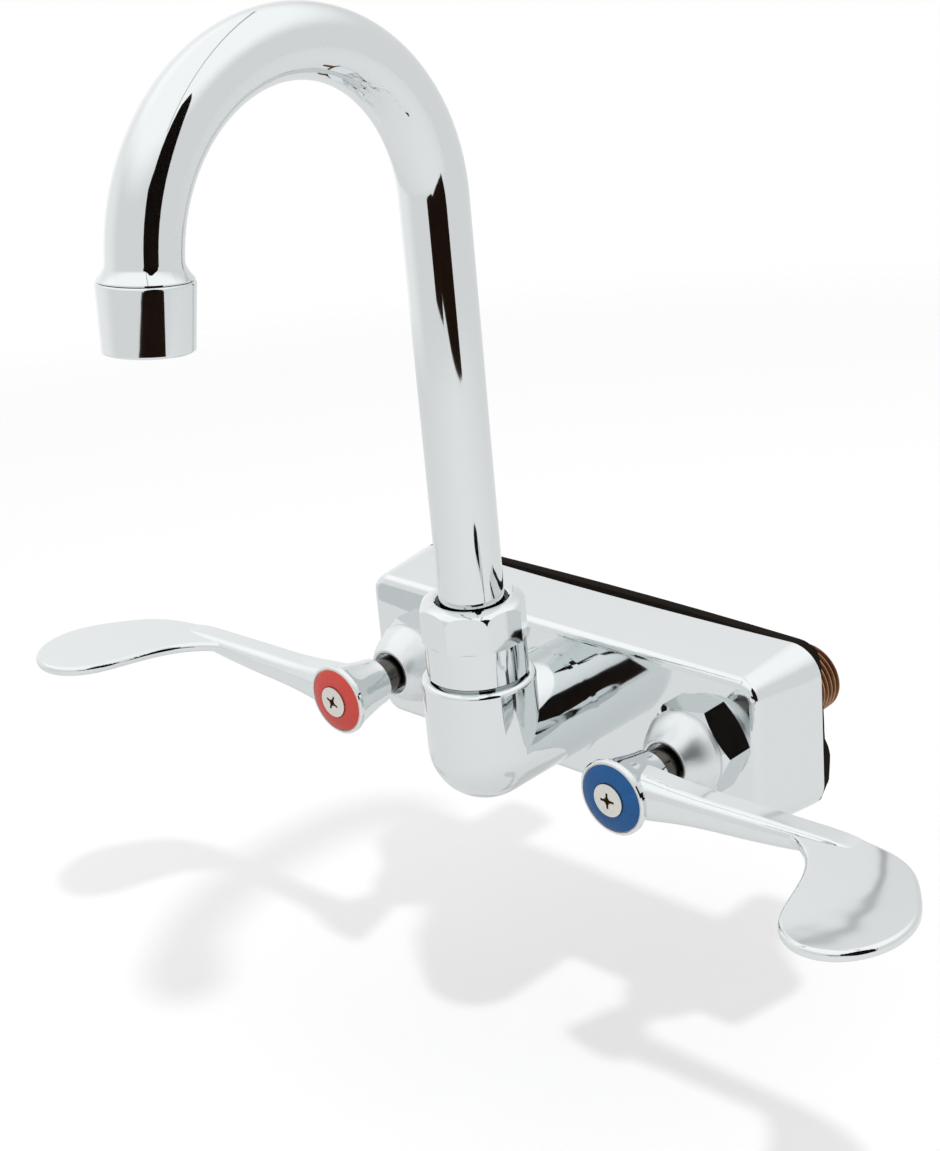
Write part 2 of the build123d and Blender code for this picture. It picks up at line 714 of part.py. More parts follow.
with BuildPart() as spout_elbow:
    # Level arm from the body, upright leg under the spout, and a rounded outer corner
    with BuildSketch(facing_out(body_front_y, z=elbow_axis_z)):
        Circle(elbow_radius)
    extrude(amount=body_front_y - spout_axis_y)
    with BuildSketch(level(elbow_axis_z)):
        Circle(elbow_radius)
    extrude(amount=elbow_shoulder_z - elbow_axis_z)
    with Locations((0, spout_axis_y, elbow_axis_z)):
        Sphere(elbow_radius)
    shoulder_edge = spout_elbow.faces().sort_by(Axis.Z)[-1].edges()
    fillet(shoulder_edge, 1.3)
    # Thin collar against the body and the threaded spigot behind it
    with BuildSketch(facing_out(body_front_y, z=elbow_axis_z)):
        Circle(elbow_collar_radius)
    extrude(amount=elbow_collar_thickness)
    with BuildSketch(facing_out(body_front_y, z=elbow_axis_z)):
        Circle(elbow_spigot_radius)
    extrude(amount=-elbow_spigot_length)
    # Threaded neck that carries the nut
    with BuildSketch(level(elbow_shoulder_z - 1)):
        Circle(elbow_neck_radius)
    extrude(amount=elbow_neck_top - elbow_shoulder_z + 1)
    # Waterway round the corner and the socket for the spout
    with BuildSketch(facing_out(body_front_y + elbow_spigot_length, z=elbow_axis_z)):
        Circle(elbow_bore)
    extrude(amount=body_front_y + elbow_spigot_length - spout_axis_y, mode=Mode.SUBTRACT)
    with Locations((0, spout_axis_y, elbow_axis_z)):
        Sphere(elbow_bore, mode=Mode.SUBTRACT)
    with BuildSketch(level(elbow_axis_z)):
        Circle(elbow_bore)
    extrude(amount=elbow_neck_top - elbow_axis_z, mode=Mode.SUBTRACT)
    with BuildSketch(level(elbow_socket_floor)):
        Circle(elbow_socket_radius)
    extrude(amount=elbow_neck_top - elbow_socket_floor, mode=Mode.SUBTRACT)
spout_elbow.part.label = "spout_elbow"
export_step(spout_elbow.part, "parts/spout_elbow.step")

with BuildPart() as swivel_nut:
    # Eight flats above a plain skirt, under a rounded shoulder
    nut_corner = nut_flats / 2 / cos(pi / 8)
    with BuildSketch(upright_profile):
        with BuildLine():
            side_wall = Polyline(
                (0, nut_bottom_z),
                (nut_skirt_radius - 0.4, nut_bottom_z),
                (nut_skirt_radius, nut_bottom_z + 0.4),
                (nut_skirt_radius, nut_flats_z),
                (nut_corner, nut_flats_z + 0.4),
                (nut_corner, nut_shoulder_z),
            )
            shoulder = Spline(
                side_wall @ 1,
                (nut_rim_radius + 0.78 * (nut_corner - nut_rim_radius), nut_top_z - 1.0),
                (nut_rim_radius, nut_top_z),
                tangents=((0, 1), (-1, 0.15)),
            )
            Line(shoulder @ 1, (0, nut_top_z))
            Line((0, nut_top_z), (0, nut_bottom_z))
        make_face()
    revolve(axis=spout_axis)
    with BuildSketch(level(nut_flats_z)):
        Circle(nut_corner + 3)
        with Locations(Rotation(0, 0, nut_turn)):
            RegularPolygon(nut_flats / 2, 8, major_radius=False, mode=Mode.SUBTRACT)
    extrude(amount=nut_top_z - nut_flats_z, mode=Mode.SUBTRACT)
    # Hole for the tube, ledge for the sleeve and the bore of the thread
    with BuildSketch(upright_profile):
        with BuildLine():
            Polyline(
                (0, nut_bottom_z - 1),
                (elbow_neck_radius + thread_gap, nut_bottom_z - 1),
                (elbow_neck_radius + thread_gap, nut_ledge_z),
                (nut_hole_radius, nut_ledge_z),
                (nut_hole_radius, nut_top_z - 0.4),
                (nut_hole_radius + 0.5, nut_top_z + 0.1),
                (0, nut_top_z + 0.1),
                close=True,
            )
        make_face()
    revolve(axis=spout_axis, mode=Mode.SUBTRACT)
swivel_nut.part.label = "swivel_nut"
export_step(swivel_nut.part, "parts/swivel_nut.step")

# Gooseneck spout

tilt = radians(180 - bend_angle)
bend_end = (
    0,
    spout_axis_y - bend_radius - bend_radius * cos(tilt),
    bend_centre_z + bend_radius * sin(tilt),
)
outlet_direction = (0, -sin(tilt), -cos(tilt))
outlet_axis = Axis(bend_end, outlet_direction)
# Half profiles of the outlet pieces: local x is the radius, local y runs down the outlet
outlet_profile = Plane(origin=bend_end, x_dir=(1, 0, 0), z_dir=(0, cos(tilt), -sin(tilt)))
outlet_plane = Plane(origin=bend_end, x_dir=(1, 0, 0), z_dir=outlet_direction)

with BuildPart() as spout_tube:
    # Straight riser and one circular bend
    with BuildLine() as centre_line:
        riser = Line((0, spout_axis_y, tube_foot_z), (0, spout_axis_y, bend_centre_z))
        ThreePointArc(
            riser @ 1,
            (
                0,
                spout_axis_y - bend_radius + bend_radius * cos(radians(bend_angle) / 2),
                bend_centre_z + bend_radius * sin(radians(bend_angle) / 2),
            ),
            bend_end,
        )
    with BuildSketch(level(tube_foot_z)):
        Circle(tube_radius)
        Circle(tube_radius - tube_wall, mode=Mode.SUBTRACT)
    sweep(path=centre_line.line)
    # The end is belled out over the outlet fitting
    with BuildSketch(outlet_profile):
        with BuildLine():
            outside = Spline(
                (tube_radius, 0),
                (tube_radius + 0.55, bell_length * 0.45),
                (bell_radius, bell_length - 0.3),
                tangents=((0, 1), (1, 0.8)),
            )
            rim = Line(outside @ 1, (bell_radius, bell_length))
            inner_rim = Line(rim @ 1, (bell_radius - tube_wall, bell_length))
            inside = Spline(
                inner_rim @ 1,
                (tube_radius - tube_wall + 0.5, bell_length * 0.5),
                (tube_radius - tube_wall, 0),
                tangents=((-1, -0.8), (0, -1)),
            )
            Line(inside @ 1, outside @ 0)
        make_face()
    revolve(axis=outlet_axis)
spout_tube.part.label = "spout_tube"
export_step(spout_tube.part, "parts/spout_tube.step")

with BuildPart() as spout_sleeve:
    # Brass sleeve on the foot of the tube, with a flange on top and two seal grooves
    flange_bottom = elbow_neck_top + face_gap
    flange_top = flange_bottom + sleeve_flange_thickness
    groove = sleeve_seal_minor + 0.1
    groove_root = sleeve_seal_major - sleeve_seal_minor - 0.02
    groove_points = []
    for height in sleeve_seal_heights:
        groove_points += [
            (sleeve_radius, height - groove),
            (groove_root, height - groove),
            (groove_root, height + groove),
            (sleeve_radius, height + groove),
        ]
    with BuildSketch(upright_profile):
        with BuildLine():
            Polyline(
                (tube_radius, sleeve_bottom_z + 1.2),
                (tube_radius - tube_wall, sleeve_bottom_z + 1.2),
                (tube_radius - tube_wall, sleeve_bottom_z),
                (sleeve_radius - 0.6, sleeve_bottom_z),
                (sleeve_radius, sleeve_bottom_z + 0.6),
                *groove_points,
                (sleeve_radius, flange_bottom),
                (sleeve_flange_radius, flange_bottom),
                (sleeve_flange_radius, flange_top),
                (tube_radius, flange_top),
                close=True,
            )
        make_face()
    revolve(axis=spout_axis)
spout_sleeve.part.label = "spout_sleeve"
export_step(spout_sleeve.part, "parts/spout_sleeve.step")

with BuildPart() as spout_seals:
    # Two square-cut rings in the grooves of the sleeve
    for height in sleeve_seal_heights:
        with BuildSketch(level(height - sleeve_seal_minor)):
            Circle(sleeve_seal_major + sleeve_seal_minor)
            Circle(sleeve_seal_major - sleeve_seal_minor, mode=Mode.SUBTRACT)
        extrude(amount=2 * sleeve_seal_minor)
spout_seals.part.label = "spout_seals"
export_step(spout_seals.part, "parts/spout_seals.step")

with BuildPart() as bearing_ring:
    # Split plastic ring that the spout turns on, trapped under the ledge of the nut
    with BuildSketch(level(flange_top + 0.05)):
        Circle(sleeve_flange_radius)
        Circle(tube_radius + 0.15, mode=Mode.SUBTRACT)
        with Locations((0, -sleeve_flange_radius)):
            Rectangle(1.6, 8, mode=Mode.SUBTRACT)
    extrude(amount=bearing_ring_thickness)
bearing_ring.part.label = "bearing_ring"
export_step(bearing_ring.part, "parts/bearing_ring.step")

# Outlet and aerator

washer_start = adapter_end + 0.1
insert_start = washer_start + washer_thickness + 0.1
screen_start = insert_start + insert_length + 0.1

with BuildPart() as outlet_adapter:
    # Brass bush inside the end of the tube, with a male thread for the aerator
    with BuildSketch(outlet_profile):
        with BuildLine():
            Polyline(
                (adapter_bore, bell_length * 0.1),
                (tube_radius - tube_wall - 0.1, bell_length * 0.1),
                (tube_radius - tube_wall - 0.1, bell_length * 0.4),
                (bell_radius - tube_wall - 0.5, bell_length - 0.05),
                (bell_radius - tube_wall - 0.5, bell_length + 0.1),
                (aerator_bore - thread_gap, bell_length + 0.1),
                (aerator_bore - thread_gap, adapter_end),
                (adapter_bore, adapter_end),
                close=True,
            )
        make_face()
    revolve(axis=outlet_axis)
outlet_adapter.part.label = "outlet_adapter"
export_step(outlet_adapter.part, "parts/outlet_adapter.step")

with BuildPart() as aerator_housing:
    # Slightly tapered shell with a rounded shoulder and an inner lip at the mouth
    with BuildSketch(outlet_profile):
        with BuildLine():
            top_line = Line((aerator_bore, aerator_start), (aerator_top_radius - 0.7, aerator_start))
            shoulder = Spline(
                top_line @ 1,
                (aerator_top_radius - 0.2, aerator_start + 0.22),
                (aerator_top_radius, aerator_start + 0.8),
                tangents=((1, 0), (0, 1)),
            )
            side_line = Line(shoulder @ 1, (aerator_bottom_radius, aerator_end - 0.6))
            foot = Spline(
                side_line @ 1,
                (aerator_bottom_radius - 0.18, aerator_end - 0.18),
                (aerator_bottom_radius - 0.65, aerator_end),
                tangents=((0, 1), (-1, 0)),
            )
            Polyline(
                foot @ 1,
                (aerator_lip_radius, aerator_end),
                (aerator_lip_radius, aerator_end - aerator_lip_height),
                (aerator_bore, aerator_end - aerator_lip_height),
                top_line @ 0,
            )
        make_face()
    revolve(axis=outlet_axis)
aerator_housing.part.label = "aerator_housing"
export_step(aerator_housing.part, "parts/aerator_housing.step")

with BuildPart() as aerator_washer:
    # Rubber washer between the bush and the insert
    with BuildSketch(outlet_plane.offset(washer_start)):
        Circle(aerator_bore - 0.1)
        Circle(adapter_bore, mode=Mode.SUBTRACT)
    extrude(amount=washer_thickness)
aerator_washer.part.label = "aerator_washer"
export_step(aerator_washer.part, "parts/aerator_washer.step")

with BuildPart() as aerator_insert:
    # Plastic insert: a drilled plate on top and an open skirt below
    with BuildSketch(outlet_plane.offset(insert_start)):
        Circle(aerator_bore - 0.2)
    extrude(amount=insert_length)
    with BuildSketch(outlet_plane.offset(insert_start + 1.6)):
        Circle(aerator_bore - 1.5)
    extrude(amount=insert_length - 1.6, mode=Mode.SUBTRACT)
    with BuildSketch(outlet_plane.offset(insert_start)):
        with PolarLocations(4.2, 6):
            Circle(0.9)
    extrude(amount=1.6, mode=Mode.SUBTRACT)
aerator_insert.part.label = "aerator_insert"
export_step(aerator_insert.part, "parts/aerator_insert.step")

with BuildPart() as aerator_screen:
    # Disc of mesh under the insert: two crossed sets of slots
    with BuildSketch(outlet_plane.offset(screen_start)):
        Circle(aerator_bore - 0.2)
        with GridLocations(2.8, 2.8, 5, 5):
            Rectangle(1.9, 1.9, mode=Mode.SUBTRACT)
        Circle(aerator_bore - 0.2, mode=Mode.INTERSECT)
    extrude(amount=screen_thickness)
aerator_screen.part.label = "aerator_screen"
export_step(aerator_screen.part, "parts/aerator_screen.step")
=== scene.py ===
# %% [markdown]
# A wall-mounted faucet with a gooseneck spout and two wrist-blade handles.
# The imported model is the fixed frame: its pieces already have their true shapes and
# places, and this file gives each of them the surface that shows in a photo. Three of them
# are made again here in finer detail. All lengths are in metres.

import json
import math

import bpy
from mathutils import Matrix, Vector


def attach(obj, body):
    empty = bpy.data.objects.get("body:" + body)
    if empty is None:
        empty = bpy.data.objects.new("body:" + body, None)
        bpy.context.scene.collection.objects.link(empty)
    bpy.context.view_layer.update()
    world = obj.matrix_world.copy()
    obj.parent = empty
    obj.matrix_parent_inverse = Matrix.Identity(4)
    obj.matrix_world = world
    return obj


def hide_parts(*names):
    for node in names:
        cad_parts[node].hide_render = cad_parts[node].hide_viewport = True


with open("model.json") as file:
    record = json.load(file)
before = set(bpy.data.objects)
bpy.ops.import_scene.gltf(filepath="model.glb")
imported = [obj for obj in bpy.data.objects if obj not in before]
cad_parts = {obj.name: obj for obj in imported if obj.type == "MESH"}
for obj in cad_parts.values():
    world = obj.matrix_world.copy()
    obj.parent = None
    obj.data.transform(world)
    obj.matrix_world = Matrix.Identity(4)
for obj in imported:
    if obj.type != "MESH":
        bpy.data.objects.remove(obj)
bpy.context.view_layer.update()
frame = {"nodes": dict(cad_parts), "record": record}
nodes = frame["nodes"]
MM = 0.001

# %% [markdown]
# The camera stands close to the faucet, a little above it and to its right, so nearer
# pieces look clearly larger. It could be moved by hand until the view looks right. Here
# its place and its lens come from fitting the standard sizes of the faucet to the photo,
# because a piece of the right size then also lands in the right place.

# %% Camera
CAMERA_PLACE = Vector((0.363716, -0.410588, 0.254932))
CAMERA_AZIMUTH = math.radians(45.5753)      # round from the front
CAMERA_ELEVATION = math.radians(22.2188)    # up from level
CAMERA_ROLL = math.radians(-5.3586)
LENS_PIXELS = 2105.0
IMAGE_HEIGHT = 1151
NEAREST_SEEN = 10 * MM


def camera_axes(azimuth, elevation, roll):
    """Right, up and backward directions of a camera that looks at the wall."""
    back = Vector((
        math.sin(azimuth) * math.cos(elevation),
        -math.cos(azimuth) * math.cos(elevation),
        math.sin(elevation),
    ))
    right = Vector((math.cos(azimuth), math.sin(azimuth), 0))
    up = back.cross(right)
    turned_right = math.cos(roll) * right + math.sin(roll) * up
    turned_up = math.cos(roll) * up - math.sin(roll) * right
    return turned_right, turned_up, back


camera_data = bpy.data.cameras.new("photo_camera")
# Blender lays the sensor's width along the longer side of the image, here its height
camera_data.lens = LENS_PIXELS / IMAGE_HEIGHT * camera_data.sensor_width
camera_data.clip_start = NEAREST_SEEN
camera = bpy.data.objects.new("photo_camera", camera_data)
bpy.context.scene.collection.objects.link(camera)
right, up, back = camera_axes(CAMERA_AZIMUTH, CAMERA_ELEVATION, CAMERA_ROLL)
camera.matrix_world = Matrix((
    (right.x, up.x, back.x, CAMERA_PLACE.x),
    (right.y, up.y, back.y, CAMERA_PLACE.y),
    (right.z, up.z, back.z, CAMERA_PLACE.z),
    (0, 0, 0, 1),
))
bpy.context.scene.camera = camera
bpy.context.scene.view_settings.view_transform = "Standard"
print("camera lens", round(camera_data.lens, 2), "mm")

# %% [markdown]
# Materials are built from nodes. Small helpers keep that short: one turns a colour that is
# written as sRGB hex into the linear numbers that Blender mixes with, one adds a node with
# its settings and its links, one starts an empty material, and one puts it on a piece.

# %% Helpers for materials


def linear(hex_colour):
    """Linear RGBA of a colour written as sRGB hex, by the curve of that standard."""
    channels = [int(hex_colour[i:i + 2], 16) / 255 for i in (1, 3, 5)]
    return [
        c / 12.92 if c <= 0.04045 else ((c + 0.055) / 1.055) ** 2.4 for c in channels
    ] + [1.0]


def add_node(tree, kind, settings=None, links=None):
    """Adds one node. A setting is an attribute of the node or a value on one of its inputs."""
    node = tree.nodes.new(kind)
    for key, value in (settings or {}).items():
        if isinstance(key, str) and hasattr(node, key):
            setattr(node, key, value)
        else:
            node.inputs[key].default_value = value
    for key, source in (links or {}).items():
        tree.links.new(source, node.inputs[key])
    return node


def start_material(name):
    """Empty node material with its output."""
    material = bpy.data.materials.new(name)
    material.use_nodes = True
    material.node_tree.nodes.clear()
    output = add_node(material.node_tree, "ShaderNodeOutputMaterial")
    return material, material.node_tree, output


def dress(piece, material):
    """Gives one piece one material."""
    piece.data.materials.clear()
    piece.data.materials.append(material)


print("the hex grey #808080 is", round(linear("#808080")[0], 3), "in linear numbers")

# %% [markdown]
# Chrome has no colour of its own, so what stands round it draws it. The faucet stands in
# a white tent: pale grey round its sides, a little brighter on the left, and brightest
# overhead, where the light comes through the cloth. The tent could be walls with lamps
# behind them. Here it is the world, whose tone depends only on the direction, because
# that lights the faucet evenly and stays where it is when the camera moves.

# %% Cloth of the tent
SIDE_LEVEL, ROOF_LEVEL = 0.82, 1.16
ROOF_STARTS, ROOF_FULL = 0.35, 0.78         # sine of the angle up from level
LEFT_EXTRA = 0.16
LEFT_STARTS, LEFT_FULL = -0.45, -0.95       # X of the direction
world = bpy.data.worlds.new("white_tent")
bpy.context.scene.world = world
world.use_nodes = True
tent = world.node_tree
tent.nodes.clear()
direction = add_node(tent, "ShaderNodeTexCoord")
split = add_node(tent, "ShaderNodeSeparateXYZ", links={0: direction.outputs["Generated"]})
roof = add_node(
    tent, "ShaderNodeMapRange",
    {
        "interpolation_type": "SMOOTHSTEP",
        "From Min": ROOF_STARTS, "From Max": ROOF_FULL,
        "To Min": SIDE_LEVEL, "To Max": ROOF_LEVEL,
    },
    {"Value": split.outputs["Z"]},
)
left_side = add_node(
    tent, "ShaderNodeMapRange",
    {
        "interpolation_type": "SMOOTHSTEP",
        "From Min": LEFT_STARTS, "From Max": LEFT_FULL,
        "To Min": 0.0, "To Max": LEFT_EXTRA,
    },
    {"Value": split.outputs["X"]},
)
cloth_tone = add_node(
    tent, "ShaderNodeMath", {"operation": "ADD"},
    {0: roof.outputs["Result"], 1: left_side.outputs["Result"]},
)
print("tent:", SIDE_LEVEL, "at its sides,", ROOF_LEVEL, "overhead")

# %% [markdown]
# The world gives a direction as X, Y and Z. Two angles are easier to think in when
# something has to stand in a certain place: round from the front, and up from level.

# %% Directions as angles
to_front = add_node(
    tent, "ShaderNodeMath", {"operation": "MULTIPLY", 1: -1.0}, {0: split.outputs["Y"]},
)
azimuth = add_node(
    tent, "ShaderNodeMath", {"operation": "ARCTAN2"},
    {0: split.outputs["X"], 1: to_front.outputs[0]},
)
height = add_node(tent, "ShaderNodeMath", {"operation": "ARCSINE"}, {0: split.outputs["Z"]})
print("camera seen at", round(math.degrees(CAMERA_AZIMUTH), 1), "degrees round from the front")

# %% [markdown]
# Behind the faucet and to its left, a light panel with a thin grey border shines through
# the cloth. It shows in the chrome as a fine line with a brighter side. A thin strip could
# be modelled there. Worked out in angles instead, the border keeps one width all along: how
# far a direction lies outside the panel's right and top edges, round their corner.

# %% Edge of the light panel
PANEL_RIGHT, PANEL_TOP = -142.8, 27.4       # degrees round from the front, and up from level
PANEL_CORNER, PANEL_WIDTH = 2.2, 50.0       # degrees
LEFT_END, FAR_OUTSIDE = 5.0, 10.0           # the border stops within 5 degrees on the left
past_corner = []
for edge, into_panel, angle in ((PANEL_RIGHT, 1, azimuth), (PANEL_TOP, -1, height)):
    outward = add_node(
        tent, "ShaderNodeMapRange",
        {
            "clamp": False,
            "From Min": math.radians(edge),
            "From Max": math.radians(edge + into_panel * PANEL_CORNER),
            "To Min": PANEL_CORNER, "To Max": 0.0,
        },
        {"Value": angle.outputs[0]},
    )
    past_corner.append(add_node(
        tent, "ShaderNodeMath", {"operation": "MAXIMUM", 1: 0.0},
        {0: outward.outputs["Result"]},
    ))
corner = add_node(
    tent, "ShaderNodeCombineXYZ",
    links={"X": past_corner[0].outputs[0], "Y": past_corner[1].outputs[0]},
)
reach = add_node(tent, "ShaderNodeVectorMath", {"operation": "LENGTH"}, {0: corner.outputs[0]})
past_left = add_node(
    tent, "ShaderNodeMapRange",
    {
        "From Min": math.radians(PANEL_RIGHT + PANEL_WIDTH),
        "From Max": math.radians(PANEL_RIGHT + PANEL_WIDTH + LEFT_END),
        "To Min": -PANEL_CORNER, "To Max": FAR_OUTSIDE,
    },
    {"Value": azimuth.outputs[0]},
)
off_border = add_node(
    tent, "ShaderNodeMath", {"operation": "ADD"},
    {0: reach.outputs["Value"], 1: past_left.outputs["Result"]},
)
print("light panel:", PANEL_WIDTH, "degrees wide, up to", PANEL_TOP, "degrees")

# %% Tones of the light panel
LINE_CORE = 0.4                             # share of a line's half width at its full grey
BORDER_HALF_WIDTH = 0.16                    # degrees
BORDER_TONE, PANEL_TONE = 0.5, 1.07
PANEL_STARTS, PANEL_FULL = 0.1, -0.3        # degrees outside the border
border_distance = add_node(
    tent, "ShaderNodeMath", {"operation": "ABSOLUTE"}, {0: off_border.outputs[0]},
)
border_tone = add_node(
    tent, "ShaderNodeMapRange",
    {
        "From Min": LINE_CORE * BORDER_HALF_WIDTH, "From Max": BORDER_HALF_WIDTH,
        "To Min": BORDER_TONE, "To Max": 1.0,
    },
    {"Value": border_distance.outputs[0]},
)
panel_tone = add_node(
    tent, "ShaderNodeMapRange",
    {"From Min": PANEL_STARTS, "From Max": PANEL_FULL, "To Min": 1.0, "To Max": PANEL_TONE},
    {"Value": off_border.outputs[0]},
)
print("its border:", 2 * BORDER_HALF_WIDTH, "degrees wide, tone", BORDER_TONE)

# %% [markdown]
# Overhead two sheets of cloth meet in a seam, which runs as a grey line along the crown
# of the bend. All directions near one plane through the faucet make such a line, so one
# dot product draws it, and it ends where the roof turns into the sides.

# %% Seam overhead
SEAM_PLANE = Vector((0.604, 0.781, -0.155))
SEAM_HALF_WIDTH = 0.018
SEAM_TONE = 0.4
SEAM_FULL, SEAM_ENDS = 0.66, 0.6            # sine of the angle up from level
off_seam = add_node(
    tent, "ShaderNodeVectorMath", {"operation": "DOT_PRODUCT", 1: SEAM_PLANE},
    {0: direction.outputs["Generated"]},
)
seam_distance = add_node(
    tent, "ShaderNodeMath", {"operation": "ABSOLUTE"}, {0: off_seam.outputs["Value"]},
)
too_low = add_node(
    tent, "ShaderNodeMapRange",
    {"From Min": SEAM_FULL, "From Max": SEAM_ENDS, "To Min": 0.0, "To Max": 1.0},
    {"Value": split.outputs["Z"]},
)
seam_off = add_node(
    tent, "ShaderNodeMath", {"operation": "ADD"},
    {0: seam_distance.outputs[0], 1: too_low.outputs["Result"]},
)
seam_tone = add_node(
    tent, "ShaderNodeMapRange",
    {
        "From Min": LINE_CORE * SEAM_HALF_WIDTH, "From Max": SEAM_HALF_WIDTH,
        "To Min": SEAM_TONE, "To Max": 1.0,
    },
    {"Value": seam_off.outputs[0]},
)
print("seam overhead: tone", SEAM_TONE)

# %% [markdown]
# The tones of the cloth, the panel and the seam are multiplied into one brightness. The
# camera itself looks past the tent at plain white, as a photo on white paper does.

# %% Tent and the white behind it
full_tone = cloth_tone
for tone in (border_tone, panel_tone, seam_tone):
    full_tone = add_node(
        tent, "ShaderNodeMath", {"operation": "MULTIPLY"},
        {0: full_tone.outputs[0], 1: tone.outputs["Result"]},
    )
tent_background = add_node(
    tent, "ShaderNodeBackground", {"Color": (1, 1, 1, 1)}, {"Strength": full_tone.outputs[0]},
)
plain_background = add_node(
    tent, "ShaderNodeBackground", {"Color": (1, 1, 1, 1), "Strength": 1.0},
)
ray = add_node(tent, "ShaderNodeLightPath")
tent_mix = add_node(
    tent, "ShaderNodeMixShader",
    links={
        0: ray.outputs["Is Camera Ray"],
        1: tent_background.outputs[0],
        2: plain_background.outputs[0],
    },
)
add_node(tent, "ShaderNodeOutputWorld", links={"Surface": tent_mix.outputs[0]})
print("tent made of", len(tent.nodes), "nodes")

# %% [markdown]
# The table is a white disc under the faucet. It could be a box with an edge, but a disc
# can end in all directions at the same distance. It lies low enough for the blades to
# turn down.

# %% Table
TABLE_HEIGHT = -0.112
TABLE_RADIUS = 1.0
TABLE_SIDES = 96
TABLE_CENTRE_Y = -0.05
bpy.ops.object.select_all(action="DESELECT")
bpy.ops.mesh.primitive_circle_add(
    vertices=TABLE_SIDES, radius=TABLE_RADIUS, fill_type="NGON",
    location=(0, TABLE_CENTRE_Y, TABLE_HEIGHT),
)
table = bpy.context.active_object
table.name = "table"
bpy.ops.object.transform_apply(location=True, rotation=True, scale=True)
print("table at", TABLE_HEIGHT, "m")

# %% [markdown]
# On the table lies a sheet of white paper, dull all over. It fades out before the rim of
# the disc, so that no edge shows against the white behind it. Paper that the camera sees
# is white; the chrome sees it at the level of the tent's sides.

# %% White paper
FADE_STARTS, FADE_ENDS = 0.7, 0.92          # from the origin
white_paper, tree, output = start_material("white_paper_sweep")
place = add_node(tree, "ShaderNodeTexCoord")
radius = add_node(
    tree, "ShaderNodeVectorMath", {"operation": "LENGTH"}, {0: place.outputs["Object"]},
)
fade = add_node(
    tree, "ShaderNodeMapRange",
    {"interpolation_type": "SMOOTHSTEP", "From Min": FADE_STARTS, "From Max": FADE_ENDS},
    {"Value": radius.outputs["Value"]},
)
seen = add_node(tree, "ShaderNodeLightPath")
paper_tone = add_node(
    tree, "ShaderNodeMix", {"data_type": "RGBA", 6: linear("#DADADA"), 7: linear("#ECECEC")},
    {0: seen.outputs["Is Camera Ray"]},
)
paper = add_node(tree, "ShaderNodeBsdfDiffuse", links={"Color": paper_tone.outputs[2]})
clear = add_node(tree, "ShaderNodeBsdfTransparent")
paper_mix = add_node(
    tree, "ShaderNodeMixShader",
    links={0: fade.outputs["Result"], 1: paper.outputs[0], 2: clear.outputs[0]},
)
tree.links.new(paper_mix.outputs[0], output.inputs["Surface"])
dress(table, white_paper)
print("paper fades out from", FADE_STARTS, "to", FADE_ENDS, "m")

# %% [markdown]
# A photographer puts black cards beside polished metal, because without something dark
# to reflect it looks like white paint. One tall card with a cut outline stands to the
# right of the camera and gives the spout, the outlet and the hexagons their black
# streaks. It shows in reflections only and throws no shadow, so it can stand where its
# image has to fall.

# %% Black card
CARD_START = Vector((0.335, -0.455))
CARD_END = Vector((0.72, -0.13))
# Corners as distance along the card and height
CARD_OUTLINE = (
    (-0.17, -0.02), (-0.01, -0.025), (0.02, -0.012), (0.15, -0.045), (0.35, -0.085),
    (0.504, TABLE_HEIGHT), (0.504, 0.35), (0.45, 0.75), (0.38, 0.88), (0.24, 0.80),
    (0.08, 0.42), (0.02, 0.36), (0.015, 0.08), (-0.17, 0.05),
)
along = (CARD_END - CARD_START).normalized()
card_mesh = bpy.data.meshes.new("black_card")
card_mesh.from_pydata(
    [(CARD_START.x + along.x * s, CARD_START.y + along.y * s, z) for s, z in CARD_OUTLINE],
    [], [list(range(len(CARD_OUTLINE)))],
)
card = bpy.data.objects.new("black_card", card_mesh)
bpy.context.scene.collection.objects.link(card)
card.visible_camera = False
card.visible_diffuse = False
card.visible_shadow = False
print("black card with", len(CARD_OUTLINE), "corners")

# %% [markdown]
# The card is matt, and towards its foot the black turns brown, as in the streaks of the
# photo: a mix of two dark tones by height.

# %% Skin of the black card
CARD_BROWN_BELOW, CARD_BLACK_ABOVE = -0.08, 0.25
black_card, tree, output = start_material("black_card")
place = add_node(tree, "ShaderNodeTexCoord")
split = add_node(tree, "ShaderNodeSeparateXYZ", links={0: place.outputs["Object"]})
rise = add_node(
    tree, "ShaderNodeMapRange",
    {"From Min": CARD_BROWN_BELOW, "From Max": CARD_BLACK_ABOVE},
    {"Value": split.outputs["Z"]},
)
card_tone = add_node(
    tree, "ShaderNodeMix", {"data_type": "RGBA", 6: linear("#23160F"), 7: linear("#14100E")},
    {0: rise.outputs["Result"]},
)
card_skin = add_node(tree, "ShaderNodeBsdfDiffuse", links={"Color": card_tone.outputs[2]})
tree.links.new(card_skin.outputs[0], output.inputs["Surface"])
dress(card, black_card)
print("card brown at", CARD_BROWN_BELOW, "m and black above", CARD_BLACK_ABOVE, "m")

# %% [markdown]
# One lamp behind the cloth, high on the right, throws the soft shadows to the lower left.
# A sun lamp would throw them too, but a small disc close by softens them with distance.
# It is kept out of the reflections, because the cloth in front of it has no bright spot.

# %% Lamp
SHADOW_DIRECTION = Vector((0.44, -0.36, 1.0))
LAMP_HEIGHT = 1.2
LAMP_ACROSS = 0.07
LAMP_WATTS = 5.4
lamp_data = bpy.data.lights.new("key_lamp", "AREA")
lamp_data.shape = "DISK"
lamp_data.size = LAMP_ACROSS
lamp_data.energy = LAMP_WATTS
lamp = bpy.data.objects.new("key_lamp", lamp_data)
bpy.context.scene.collection.objects.link(lamp)
lamp.location = SHADOW_DIRECTION * LAMP_HEIGHT
lamp.rotation_euler = SHADOW_DIRECTION.to_track_quat("Z", "Y").to_euler()
lamp.visible_glossy = False
print("lamp", round(lamp.location.length, 2), "m from the faucet")

